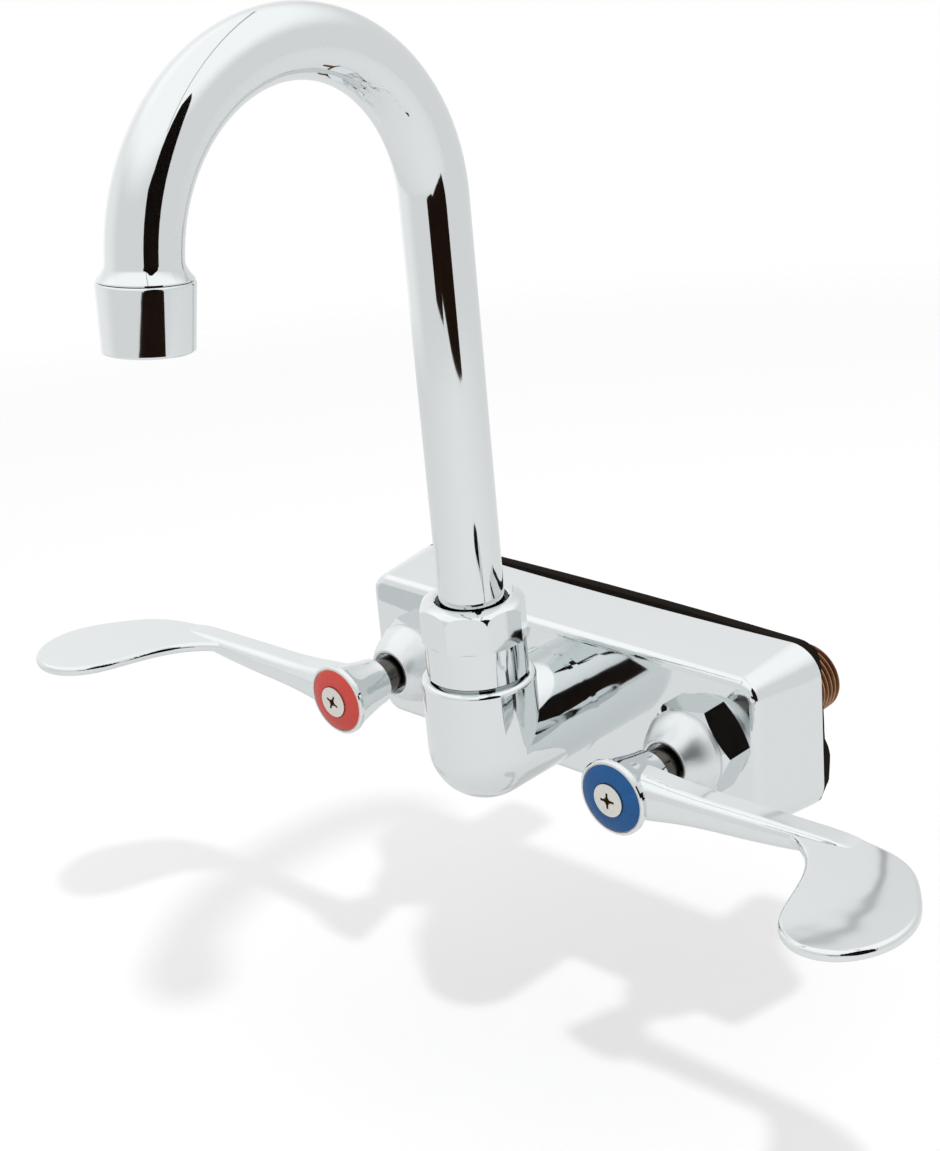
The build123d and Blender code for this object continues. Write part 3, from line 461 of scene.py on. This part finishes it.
# %% [markdown]
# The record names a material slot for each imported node, such as chrome_body. A helper
# gives one material to all nodes of a slot, so no node is forgotten.

# %% Slots
slot_of = {part["node"]: part["material_slot"] for part in frame["record"]["subparts"]}


def dress_slot(slot, material):
    """Gives every node of one slot its material."""
    wearers = [name for name in nodes if slot_of[name] == slot]
    for name in wearers:
        dress(nodes[name], material)
    print(material.name, "on", ", ".join(wearers))


print(len(set(slot_of.values())), "slots for", len(slot_of), "nodes")

# %% [markdown]
# The chrome is a very thin plate over nickel, so it takes the shape of the brass below
# it. Castings are buffed by hand, which leaves their faces faintly wavy over a centimetre
# or so; a drawn tube is truer. A perfect mirror would show the tent too sharply. A bump
# of that waviness bends the streaks instead, and as the plate is never equally clean, its
# roughness wanders a little.

# %% Chrome
CHROME_COLOUR = "#E1E5E6"
NOISE_LOW, NOISE_HIGH = 0.3, 0.7            # noise seldom leaves this range
WIPE_WAVES = 4                              # a wiped patch is this many waves across


def chrome_plate(name, wave_mm, wave_depth_mm, roughness):
    """Polished chrome whose face waves over wave_mm, as deep as wave_depth_mm."""
    material, tree, output = start_material(name)
    place = add_node(tree, "ShaderNodeTexCoord")
    waves = add_node(
        tree, "ShaderNodeTexNoise",
        {"Scale": 1 / (wave_mm * MM), "Detail": 1.0, "Roughness": 0.35},
        {"Vector": place.outputs["Object"]},
    )
    wiping = add_node(
        tree, "ShaderNodeTexNoise",
        {"Scale": 1 / (WIPE_WAVES * wave_mm * MM), "Detail": 3.0, "Roughness": 0.55},
        {"Vector": place.outputs["Object"]},
    )
    gloss = add_node(
        tree, "ShaderNodeMapRange",
        {
            "From Min": NOISE_LOW, "From Max": NOISE_HIGH,
            "To Min": roughness[0], "To Max": roughness[1],
        },
        {"Value": wiping.outputs["Fac"]},
    )
    bump = add_node(
        tree, "ShaderNodeBump", {"Strength": 1.0, "Distance": wave_depth_mm * MM},
        {"Height": waves.outputs["Fac"]},
    )
    skin = add_node(
        tree, "ShaderNodeBsdfPrincipled",
        {"Base Color": linear(CHROME_COLOUR), "Metallic": 1.0},
        {"Roughness": gloss.outputs["Result"], "Normal": bump.outputs["Normal"]},
    )
    tree.links.new(skin.outputs[0], output.inputs["Surface"])
    return material


dress_slot("chrome_body", chrome_plate(
    "chrome_plate_on_buffed_cast_brass",
    wave_mm=13.0, wave_depth_mm=0.05, roughness=(0.03, 0.06),
))
dress_slot("chrome_spout", chrome_plate(
    "chrome_plate_on_drawn_and_turned_brass",
    wave_mm=22.0, wave_depth_mm=0.03, roughness=(0.03, 0.05),
))
dress_slot("chrome_handle", chrome_plate(
    "chrome_plate_on_buffed_casting",
    wave_mm=16.0, wave_depth_mm=0.035, roughness=(0.025, 0.045),
))

# %% [markdown]
# The conical caps in front of the hexagons were only turned, not buffed, so the same
# plate has a satin gloss on them. It is the chrome above with more roughness.

# %% Satin chrome
satin_chrome = chrome_plate(
    "satin_chrome_plate_on_turned_brass",
    wave_mm=5.0, wave_depth_mm=0.01, roughness=(0.3, 0.38),
)
for side in ("hot", "cold"):
    dress(nodes[f"{side}_bonnet_cap"], satin_chrome)
    print(satin_chrome.name, "on", f"{side}_bonnet_cap")

# %% [markdown]
# The pipe nipples are red brass, cut on a threading machine and never plated. Air and
# pipe compound have turned them brown, and the roots of the thread are darker as painted
# shade, while the crests, worn bright, also carry a painted highlight. Two materials could
# be given to roots and crests by hand.
# Here the colour follows the distance from the pipe's axis, which fits every turn. A
# helper finds that distance for whichever of the two valves is nearer.

# %% Distance from a valve's axis
VALVE_X = 50.8 * MM


def from_valve_axis(tree, place):
    """A point's coordinates, its place across the nearer valve's axis, and its radius."""
    split = add_node(tree, "ShaderNodeSeparateXYZ", links={0: place.outputs["Object"]})
    beside = add_node(
        tree, "ShaderNodeMath", {"operation": "ABSOLUTE"}, {0: split.outputs["X"]},
    )
    across = add_node(
        tree, "ShaderNodeMath", {"operation": "SUBTRACT", 1: VALVE_X}, {0: beside.outputs[0]},
    )
    from_axis = add_node(
        tree, "ShaderNodeCombineXYZ", links={"X": across.outputs[0], "Y": split.outputs["Z"]},
    )
    radius = add_node(
        tree, "ShaderNodeVectorMath", {"operation": "LENGTH"}, {0: from_axis.outputs[0]},
    )
    return split, from_axis, radius


print("valves", 2 * VALVE_X / MM, "mm apart")

# %% Red brass
CREST_RADIUS = 10.67 * MM
THREAD_DEPTH = 1.3 * MM
BRIGHT_CREST_DEPTH = 0.3 * MM
STAIN_SIZE = 4.545 * MM
red_brass, tree, output = start_material("threaded_red_brass_brown_and_painted_light")
place = add_node(tree, "ShaderNodeTexCoord")
_, _, radius = from_valve_axis(tree, place)
# Painted shade and highlight together with wear: darker towards the thread's roots, lighter
# towards its crests
crest_wear_and_highlight = add_node(
    tree, "ShaderNodeMapRange",
    {"From Min": CREST_RADIUS - THREAD_DEPTH, "From Max": CREST_RADIUS - BRIGHT_CREST_DEPTH},
    {"Value": radius.outputs["Value"]},
)
stain = add_node(
    tree, "ShaderNodeTexNoise", {"Scale": 1 / STAIN_SIZE, "Detail": 4.0, "Roughness": 0.6},
    {"Vector": place.outputs["Object"]},
)
stain_and_painted_light = add_node(
    tree, "ShaderNodeMath", {"operation": "MULTIPLY"},
    {0: crest_wear_and_highlight.outputs[0], 1: stain.outputs["Fac"]},
)
brass_colour = add_node(tree, "ShaderNodeValToRGB", links={"Fac": stain_and_painted_light.outputs[0]})
# Dark brown roots are browning and painted shade; light crests are wear and painted highlight
root_brown_and_shade, bright = brass_colour.color_ramp.elements
root_brown_and_shade.color, root_brown_and_shade.position = linear("#6A4530"), 0.05
bright.color, bright.position = linear("#DFAE86"), 0.5
skin = add_node(
    tree, "ShaderNodeBsdfPrincipled", {"Metallic": 0.9, "Roughness": 0.38},
    {"Base Color": brass_colour.outputs["Color"]},
)
tree.links.new(skin.outputs[0], output.inputs["Surface"])
dress_slot("nipple_brass", red_brass)

# %% [markdown]
# Each nipple gets its real pipe thread, 14 turns to the inch. A bump could draw it, but
# the outline of a thread is jagged, so it has to be in the mesh. It is made as in the
# shop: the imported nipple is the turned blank, and a die cuts it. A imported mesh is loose
# triangles, so a copy of it first has its corners joined.

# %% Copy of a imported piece
SAME_CORNER = 1e-6                          # corners nearer than this are joined


def select_only(piece):
    """Selects one piece and makes it the active one."""
    bpy.ops.object.select_all(action="DESELECT")
    piece.select_set(True)
    bpy.context.view_layer.objects.active = piece


def copy_merged(name, node):
    """A copy of a node's mesh with its corners joined."""
    piece = nodes[node].copy()
    piece.data = nodes[node].data.copy()
    piece.name = name
    bpy.context.scene.collection.objects.link(piece)
    select_only(piece)
    bpy.ops.object.mode_set(mode="EDIT")
    bpy.ops.mesh.select_all(action="SELECT")
    bpy.ops.mesh.remove_doubles(threshold=SAME_CORNER)
    bpy.ops.object.mode_set(mode="OBJECT")
    return piece


cold_nipple = copy_merged("cold_threaded_nipple", "cold_inlet_nipple")
print(cold_nipple.name, "starts with", len(cold_nipple.data.vertices), "corners")

# %% [markdown]
# The die is the ridge of the thread: one zigzag of crest, flank, root and flank, carried
# round the axis by the Screw modifier. The thread of a pipe tapers, so it runs out
# towards the wall. Both ends of the ridge are cut square and closed, which makes the die
# a solid rod.

# %% Threaded rod
PITCH = 25.4 / 14 * MM
TURNS = 21
STEPS_PER_TURN = 56
FIRST_TURN_Y = -12.4 * MM
THREAD_STARTS_Y = FIRST_TURN_Y + 1.2 * PITCH
THREAD_ENDS_Y = 25.2 * MM
TAPER = 1 / 32                              # radius lost per length, towards the free end
CREST_SPARE = 0.02 * MM                     # leaves the crests as round as the blank
CREST_FLAT, ROOT_STARTS, ROOT_ENDS = 0.12, 0.5, 0.62    # in turns
SAME_CUT_CORNER = 1e-7                      # finer, because cuts leave short edges


def thread_core(valve_x):
    """A long threaded rod on the axis of one valve."""
    ridge = bpy.data.meshes.new("thread_core")
    crest, root = CREST_RADIUS + CREST_SPARE, CREST_RADIUS - THREAD_DEPTH
    zigzag = (
        (crest, 0.0), (crest, CREST_FLAT), (root, ROOT_STARTS), (root, ROOT_ENDS), (crest, 1.0),
    )
    ridge.from_pydata(
        [(radius, FIRST_TURN_Y + turn * PITCH, 0) for radius, turn in zigzag],
        [(i, i + 1) for i in range(len(zigzag) - 1)], [],
    )
    core = bpy.data.objects.new("thread_core", ridge)
    bpy.context.scene.collection.objects.link(core)
    select_only(core)
    screw = core.modifiers.new("thread", "SCREW")
    screw.axis = "Y"
    screw.screw_offset = PITCH
    screw.iterations = TURNS
    screw.steps = screw.render_steps = STEPS_PER_TURN
    screw.use_merge_vertices = True
    screw.merge_threshold = SAME_CORNER
    bpy.ops.object.modifier_apply(modifier="thread")
    for corner in core.data.vertices:
        slope = 1 - TAPER * max(0.0, corner.co.y) / CREST_RADIUS
        corner.co.x *= slope
        corner.co.z *= slope
        corner.co.x += valve_x
    bpy.ops.object.mode_set(mode="EDIT")
    for y, clear in (
        (THREAD_STARTS_Y, {"clear_inner": True}), (THREAD_ENDS_Y, {"clear_outer": True}),
    ):
        bpy.ops.mesh.select_all(action="SELECT")
        bpy.ops.mesh.bisect(plane_co=(0, y, 0), plane_no=(0, 1, 0), use_fill=True, **clear)
    bpy.ops.mesh.select_all(action="SELECT")
    bpy.ops.mesh.remove_doubles(threshold=SAME_CUT_CORNER)
    bpy.ops.mesh.normals_make_consistent(inside=False)
    bpy.ops.object.mode_set(mode="OBJECT")
    return core


core = thread_core(VALVE_X)
print("thread: pitch", round(PITCH / MM, 3), "mm,", len(core.data.vertices), "corners")

# %% [markdown]
# A Boolean keeps what lies inside both the blank and the rod, which is the threaded
# nipple. The hot nipple is the same piece on the other valve's axis, so it is a copy with
# its own mesh, moved over by the distance between the valves.

# %% Threaded nipples
SMOOTH_BELOW = math.radians(25)             # flatter edges than this are shaded smooth
cut = cold_nipple.modifiers.new("die", "BOOLEAN")
cut.operation = "INTERSECT"
cut.solver = "EXACT"
cut.object = core
select_only(cold_nipple)
bpy.ops.object.modifier_apply(modifier="die")
bpy.data.objects.remove(core, do_unlink=True)
bpy.ops.object.shade_smooth_by_angle(angle=SMOOTH_BELOW)
hot_nipple = cold_nipple.copy()
hot_nipple.data = cold_nipple.data.copy()
hot_nipple.name = "hot_threaded_nipple"
bpy.context.scene.collection.objects.link(hot_nipple)
for corner in hot_nipple.data.vertices:
    corner.co.x -= 2 * VALVE_X
for side, nipple in (("hot", hot_nipple), ("cold", cold_nipple)):
    dress(nipple, red_brass)
    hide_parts(f"{side}_inlet_nipple")
    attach(nipple, "wall_body")
    print(nipple.name, len(nipple.data.polygons), "faces")

# %% [markdown]
# The working pieces inside the valves and the spout are turned brass. A lathe tool leaves
# rings round the axis of the piece, a few tenths of a millimetre apart. They are drawn
# 1 mm apart here, because real ones would be too fine to show. A Wave texture draws them
# as a bump, with a little distortion so that no two are quite alike.

# %% Turned brass
RING_SPACING = 1.0 * MM
# At scale 1 a Wave texture has 20 / (2 pi) bands in a metre
RING_SCALE = 2 * math.pi / (20 * RING_SPACING)
TARNISH_SIZE = 6.25 * MM
turned_brass, tree, output = start_material("turned_brass")
place = add_node(tree, "ShaderNodeTexCoord")
rings = add_node(
    tree, "ShaderNodeTexWave",
    {
        "wave_type": "BANDS", "bands_direction": "Y", "Scale": RING_SCALE,
        "Distortion": 0.6, "Detail": 1.0, "Detail Scale": 3.0,
    },
    {"Vector": place.outputs["Object"]},
)
tarnish = add_node(
    tree, "ShaderNodeTexNoise", {"Scale": 1 / TARNISH_SIZE, "Detail": 3.0},
    {"Vector": place.outputs["Object"]},
)
brass_tone = add_node(
    tree, "ShaderNodeMix", {"data_type": "RGBA", 6: linear("#A88A4E"), 7: linear("#D2B472")},
    {0: tarnish.outputs["Fac"]},
)
bump = add_node(
    tree, "ShaderNodeBump", {"Strength": 0.5, "Distance": 0.02 * MM},
    {"Height": rings.outputs["Fac"]},
)
skin = add_node(
    tree, "ShaderNodeBsdfPrincipled", {"Metallic": 1.0, "Roughness": 0.26},
    {"Base Color": brass_tone.outputs[2], "Normal": bump.outputs["Normal"]},
)
tree.links.new(skin.outputs[0], output.inputs["Surface"])
dress_slot("brass", turned_brass)

# %% [markdown]
# The stems are brass too, but the short neck that shows between a cap and its hub is
# nickel plated. It stands deep in a narrow gap and mirrors hardly anything but that gap,
# so its colour is set darker than clean nickel. The lathe's rings change its gloss.

# %% Plated stems
stem_nickel, tree, output = start_material("nickel_plated_stem")
place = add_node(tree, "ShaderNodeTexCoord")
rings = add_node(
    tree, "ShaderNodeTexWave",
    {
        "wave_type": "BANDS", "bands_direction": "Y", "Scale": RING_SCALE,
        "Distortion": 0.4,
    },
    {"Vector": place.outputs["Object"]},
)
gloss = add_node(
    tree, "ShaderNodeMapRange", {"To Min": 0.05, "To Max": 0.14},
    {"Value": rings.outputs["Fac"]},
)
skin = add_node(
    tree, "ShaderNodeBsdfPrincipled", {"Base Color": linear("#55524E"), "Metallic": 1.0},
    {"Roughness": gloss.outputs["Result"]},
)
tree.links.new(skin.outputs[0], output.inputs["Surface"])
for side in ("hot", "cold"):
    dress(nodes[f"{side}_valve_stem"], stem_nickel)
    print(stem_nickel.name, "on", f"{side}_valve_stem")

# %% [markdown]
# The screws in the handles are stainless steel, turned on the head, with a cross recess
# whose inside is darkened brown as painted shade. The dark part could be painted by
# hand. Here it is chosen by place, because that fits both screws: all that lies behind
# the face of the head and near the axis is inside the recess.

# %% Turned head and dark recess
HEAD_RING_SPACING = 0.5 * MM
SCREW_FACE_Y = -63.45 * MM
RECESS_STARTS, RECESS_DARK = 0.2 * MM, 0.45 * MM        # behind the face
RECESS_RADIUS, RECESS_INSIDE = 2.7 * MM, 2.5 * MM
stainless, tree, output = start_material("turned_stainless_steel")
place = add_node(tree, "ShaderNodeTexCoord")
split, from_axis, radius = from_valve_axis(tree, place)
turns = add_node(
    tree, "ShaderNodeMath", {"operation": "MULTIPLY", 1: 2 * math.pi / HEAD_RING_SPACING},
    {0: radius.outputs["Value"]},
)
turning = add_node(tree, "ShaderNodeMath", {"operation": "SINE"}, {0: turns.outputs[0]})
deep = add_node(
    tree, "ShaderNodeMapRange",
    {"From Min": SCREW_FACE_Y + RECESS_STARTS, "From Max": SCREW_FACE_Y + RECESS_DARK},
    {"Value": split.outputs["Y"]},
)
near = add_node(
    tree, "ShaderNodeMapRange", {"From Min": RECESS_RADIUS, "From Max": RECESS_INSIDE},
    {"Value": radius.outputs["Value"]},
)
# Painted shade: darker inside the recess, behind the face of the head and near the axis
recess_shade = add_node(
    tree, "ShaderNodeMath", {"operation": "MULTIPLY"}, {0: deep.outputs[0], 1: near.outputs[0]},
)
print("recess dark from", round(RECESS_DARK / MM, 2), "mm behind the face")

# %% [markdown]
# The brown also reaches a little out of the cross, as a dark star with hollow sides. Where the
# square roots of the two distances from the cross's arms add up to one number, such a
# star has its edge. The cross of the hot screw is turned on its axis, and the star turns
# with it.

# %% Dark star round the cross
STAR_REACH = 2.9 * MM
STAR_SOLID = 0.94                           # share of the reach at which it is fully dark
HOT_CROSS_TURN = math.radians(-26.0)
hot_side = add_node(
    tree, "ShaderNodeMath", {"operation": "LESS_THAN", 1: 0.0}, {0: split.outputs["X"]},
)
cross_turn = add_node(
    tree, "ShaderNodeMath", {"operation": "MULTIPLY", 1: HOT_CROSS_TURN},
    {0: hot_side.outputs[0]},
)
on_cross = add_node(
    tree, "ShaderNodeVectorRotate", {"rotation_type": "Z_AXIS"},
    {"Vector": from_axis.outputs[0], "Angle": cross_turn.outputs[0]},
)
along_cross = add_node(tree, "ShaderNodeSeparateXYZ", links={0: on_cross.outputs[0]})
arms = []
for offset in (along_cross.outputs["X"], along_cross.outputs["Y"]):
    size = add_node(tree, "ShaderNodeMath", {"operation": "ABSOLUTE"}, {0: offset})
    arms.append(add_node(tree, "ShaderNodeMath", {"operation": "SQRT"}, {0: size.outputs[0]}))
star = add_node(
    tree, "ShaderNodeMath", {"operation": "ADD"}, {0: arms[0].outputs[0], 1: arms[1].outputs[0]},
)
dark_star = add_node(
    tree, "ShaderNodeMapRange",
    {"From Min": math.sqrt(STAR_REACH), "From Max": STAR_SOLID * math.sqrt(STAR_REACH)},
    {"Value": star.outputs[0]},
)
painted_shade_and_star = add_node(
    tree, "ShaderNodeMath", {"operation": "MAXIMUM"}, {0: recess_shade.outputs[0], 1: dark_star.outputs[0]},
)
print("star of grime reaches", round(STAR_REACH / MM, 2), "mm")

# %% [markdown]
# With the dark places known, the steel itself is simple: a pale speckled metal that
# turns brown and dull in the recess's painted shade and in the dark star, and a fine bump of the
# lathe's rings.

# %% Stainless steel
SPECKLE_SIZE = 1.111 * MM
speckle = add_node(
    tree, "ShaderNodeTexNoise", {"Scale": 1 / SPECKLE_SIZE, "Detail": 3.0},
    {"Vector": place.outputs["Object"]},
)
steel_tone = add_node(
    tree, "ShaderNodeMix", {"data_type": "RGBA", 6: linear("#D2CFCA"), 7: linear("#E6E3DE")},
    {0: speckle.outputs["Fac"]},
)
# Brown where the mask is high: painted shade in the recess, and the dark star round the cross
steel_colour = add_node(
    tree, "ShaderNodeMix", {"data_type": "RGBA", 7: linear("#6E5636")},
    {0: painted_shade_and_star.outputs[0], 6: steel_tone.outputs[2]},
)
dull = add_node(
    tree, "ShaderNodeMapRange", {"To Min": 0.3, "To Max": 0.75}, {"Value": painted_shade_and_star.outputs[0]},
)
bump = add_node(
    tree, "ShaderNodeBump", {"Strength": 0.4, "Distance": 0.015 * MM},
    {"Height": turning.outputs[0]},
)
skin = add_node(
    tree, "ShaderNodeBsdfPrincipled", {"Metallic": 1.0},
    {
        "Base Color": steel_colour.outputs[2],
        "Roughness": dull.outputs["Result"],
        "Normal": bump.outputs["Normal"],
    },
)
tree.links.new(skin.outputs[0], output.inputs["Surface"])
dress_slot("steel", stainless)

# %% [markdown]
# The coloured rings are thin moulded plastic with a painted face: red for hot and blue
# for cold. The paint was wiped on outwards from the screw, which leaves faint rays. Just
# inside the rim the colour turns cream, a fine line round the ring. Noise that
# is read by direction alone, whatever the distance, draws such rays.

# %% Index rings
CREAM_LINE_RADIUS = 9.22 * MM
CREAM_LINE_BLUR = 0.04 * MM
RAY_SCALE = 9.0                             # noise cells per unit of the direction


def index_ring(name, paint, paint_dark):
    """Painted face with a cream rim, centred on the nearer valve."""
    material, tree, output = start_material(name)
    place = add_node(tree, "ShaderNodeTexCoord")
    _, from_axis, radius = from_valve_axis(tree, place)
    outward = add_node(
        tree, "ShaderNodeVectorMath", {"operation": "NORMALIZE"}, {0: from_axis.outputs[0]},
    )
    rays = add_node(
        tree, "ShaderNodeTexNoise", {"Scale": RAY_SCALE, "Detail": 3.0, "Roughness": 0.6},
        {"Vector": outward.outputs[0]},
    )
    paint_tone = add_node(
        tree, "ShaderNodeMix", {"data_type": "RGBA", 6: linear(paint_dark), 7: linear(paint)},
        {0: rays.outputs["Fac"]},
    )
    # Cream from this radius outwards, a fine line round the rim
    cream_line = add_node(
        tree, "ShaderNodeMapRange",
        {"From Min": CREAM_LINE_RADIUS - CREAM_LINE_BLUR, "From Max": CREAM_LINE_RADIUS + CREAM_LINE_BLUR},
        {"Value": radius.outputs["Value"]},
    )
    colour = add_node(
        tree, "ShaderNodeMix", {"data_type": "RGBA", 7: linear("#D8CCBE")},
        {0: cream_line.outputs["Result"], 6: paint_tone.outputs[2]},
    )
    bump = add_node(
        tree, "ShaderNodeBump", {"Strength": 0.25, "Distance": 0.03 * MM},
        {"Height": rays.outputs["Fac"]},
    )
    skin = add_node(
        tree, "ShaderNodeBsdfPrincipled",
        {"Roughness": 0.34, "IOR": 1.49, "Specular IOR Level": 0.18},
        {"Base Color": colour.outputs[2], "Normal": bump.outputs["Normal"]},
    )
    tree.links.new(skin.outputs[0], output.inputs["Surface"])
    return material


dress_slot("red_index", index_ring("painted_plastic_red", "#CB4F46", "#B4413A"))
dress_slot("blue_index", index_ring("painted_plastic_blue", "#225B94", "#194675"))

# %% [markdown]
# The gasket is black sponge rubber, cut from sheet: dull, faintly brown and finely
# pitted, and the pits swallow most of its shine. The seals inside are denser and were
# moulded, so they shine a little more. One noise draws the grain and its bump.

# %% Rubbers
GRAIN_DEPTH = 0.08                          # depth of the grain per width of it


def black_rubber(name, dark, light, grain_mm, roughness, shine):
    """Black rubber with a fine grain."""
    material, tree, output = start_material(name)
    place = add_node(tree, "ShaderNodeTexCoord")
    grain = add_node(
        tree, "ShaderNodeTexNoise",
        {"Scale": 1 / (grain_mm * MM), "Detail": 3.0, "Roughness": 0.6},
        {"Vector": place.outputs["Object"]},
    )
    tone = add_node(
        tree, "ShaderNodeMix", {"data_type": "RGBA", 6: linear(dark), 7: linear(light)},
        {0: grain.outputs["Fac"]},
    )
    bump = add_node(
        tree, "ShaderNodeBump", {"Strength": 0.6, "Distance": GRAIN_DEPTH * grain_mm * MM},
        {"Height": grain.outputs["Fac"]},
    )
    skin = add_node(
        tree, "ShaderNodeBsdfPrincipled",
        {"Roughness": roughness, "IOR": 1.52, "Specular IOR Level": shine},
        {"Base Color": tone.outputs[2], "Normal": bump.outputs["Normal"]},
    )
    tree.links.new(skin.outputs[0], output.inputs["Surface"])
    return material


sponge_rubber = black_rubber(
    "cut_sponge_rubber", "#0F0B08", "#1E1813", grain_mm=0.9, roughness=0.9, shine=0.08,
)
dress_slot("black_rubber", sponge_rubber)
dress_slot("seal_rubber", black_rubber(
    "moulded_nitrile_rubber", "#131313", "#1F1F1F", grain_mm=0.6, roughness=0.45, shine=0.5,
))

# %% [markdown]
# Squeezed between the wall and the body, the gasket swells out at its edges, so its rim
# is round rather than square. A simulation could squeeze it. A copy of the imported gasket
# that gets its rim from the Bevel modifier is quicker and comes out the same each time.
# At the ends it draws back under the body and bulges out only low down.

# %% Squeezed gasket
RIM_ROUNDING = 0.9 * MM
RIM_STEPS = 3
RIM_SHARPER_THAN = math.radians(60)         # only edges sharper than this are rounded
RIM_SMOOTH_BELOW = math.radians(35)
END_SETBACK = 2.8 * MM
END_REACH = 4.5 * MM                        # the setback fades out over this length
SWELL_HEIGHT = -11 * MM
SWELL_HALF_LENGTH = 8 * MM
gasket = copy_merged("squeezed_gasket", "wall_gasket")
end_x = max(corner.co.x for corner in gasket.data.vertices)
for corner in gasket.data.vertices:
    at_end = min(1.0, (abs(corner.co.x) - end_x + END_REACH) / END_REACH)
    swell = max(0.0, 1 - ((corner.co.z - SWELL_HEIGHT) / SWELL_HALF_LENGTH) ** 2)
    if at_end > 0:
        corner.co.x -= math.copysign(END_SETBACK * at_end * (1 - swell), corner.co.x)
rim = gasket.modifiers.new("rim", "BEVEL")
rim.width = RIM_ROUNDING
rim.segments = RIM_STEPS
rim.limit_method = "ANGLE"
rim.angle_limit = RIM_SHARPER_THAN
select_only(gasket)
bpy.ops.object.modifier_apply(modifier="rim")
bpy.ops.object.shade_smooth_by_angle(angle=RIM_SMOOTH_BELOW)
dress(gasket, sponge_rubber)
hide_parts("wall_gasket")
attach(gasket, "wall_body")
print(gasket.name, len(gasket.data.polygons), "faces")

# %% [markdown]
# Inside each valve two ceramic discs slide on each other. They are sintered alumina,
# lapped flat, almost white with faint clouds. The bearing ring and the insert of the
# aerator are moulded acetal, a white plastic with a soft sheen. All are pale solids that
# differ in tone, gloss and size of cloud, so one function makes them.

# %% Ceramic and plastics
GLOSS_LOW, GLOSS_HIGH = 0.8, 1.2            # shares of the roughness, in the clouds


def pale_solid(name, light, shade, cloud_mm, roughness, ior):
    """A pale moulded or lapped material with faint clouds in it."""
    material, tree, output = start_material(name)
    place = add_node(tree, "ShaderNodeTexCoord")
    clouds = add_node(
        tree, "ShaderNodeTexNoise",
        {"Scale": 1 / (cloud_mm * MM), "Detail": 4.0, "Roughness": 0.55},
        {"Vector": place.outputs["Object"]},
    )
    tone = add_node(
        tree, "ShaderNodeMix", {"data_type": "RGBA", 6: linear(shade), 7: linear(light)},
        {0: clouds.outputs["Fac"]},
    )
    gloss = add_node(
        tree, "ShaderNodeMapRange",
        {"To Min": roughness * GLOSS_LOW, "To Max": roughness * GLOSS_HIGH},
        {"Value": clouds.outputs["Fac"]},
    )
    skin = add_node(
        tree, "ShaderNodeBsdfPrincipled", {"IOR": ior},
        {"Base Color": tone.outputs[2], "Roughness": gloss.outputs["Result"]},
    )
    tree.links.new(skin.outputs[0], output.inputs["Surface"])
    return material


dress_slot("ceramic", pale_solid(
    "lapped_alumina", "#F1EFE8", "#E2DED4", cloud_mm=2.0, roughness=0.12, ior=1.76,
))
dress_slot("bearing_plastic", pale_solid(
    "moulded_acetal_natural", "#ECECE8", "#DFDFDA", cloud_mm=3.0, roughness=0.4, ior=1.48,
))
dress_slot("insert_plastic", pale_solid(
    "moulded_acetal_grey", "#DEE1E2", "#CFD3D5", cloud_mm=3.0, roughness=0.4, ior=1.48,
))
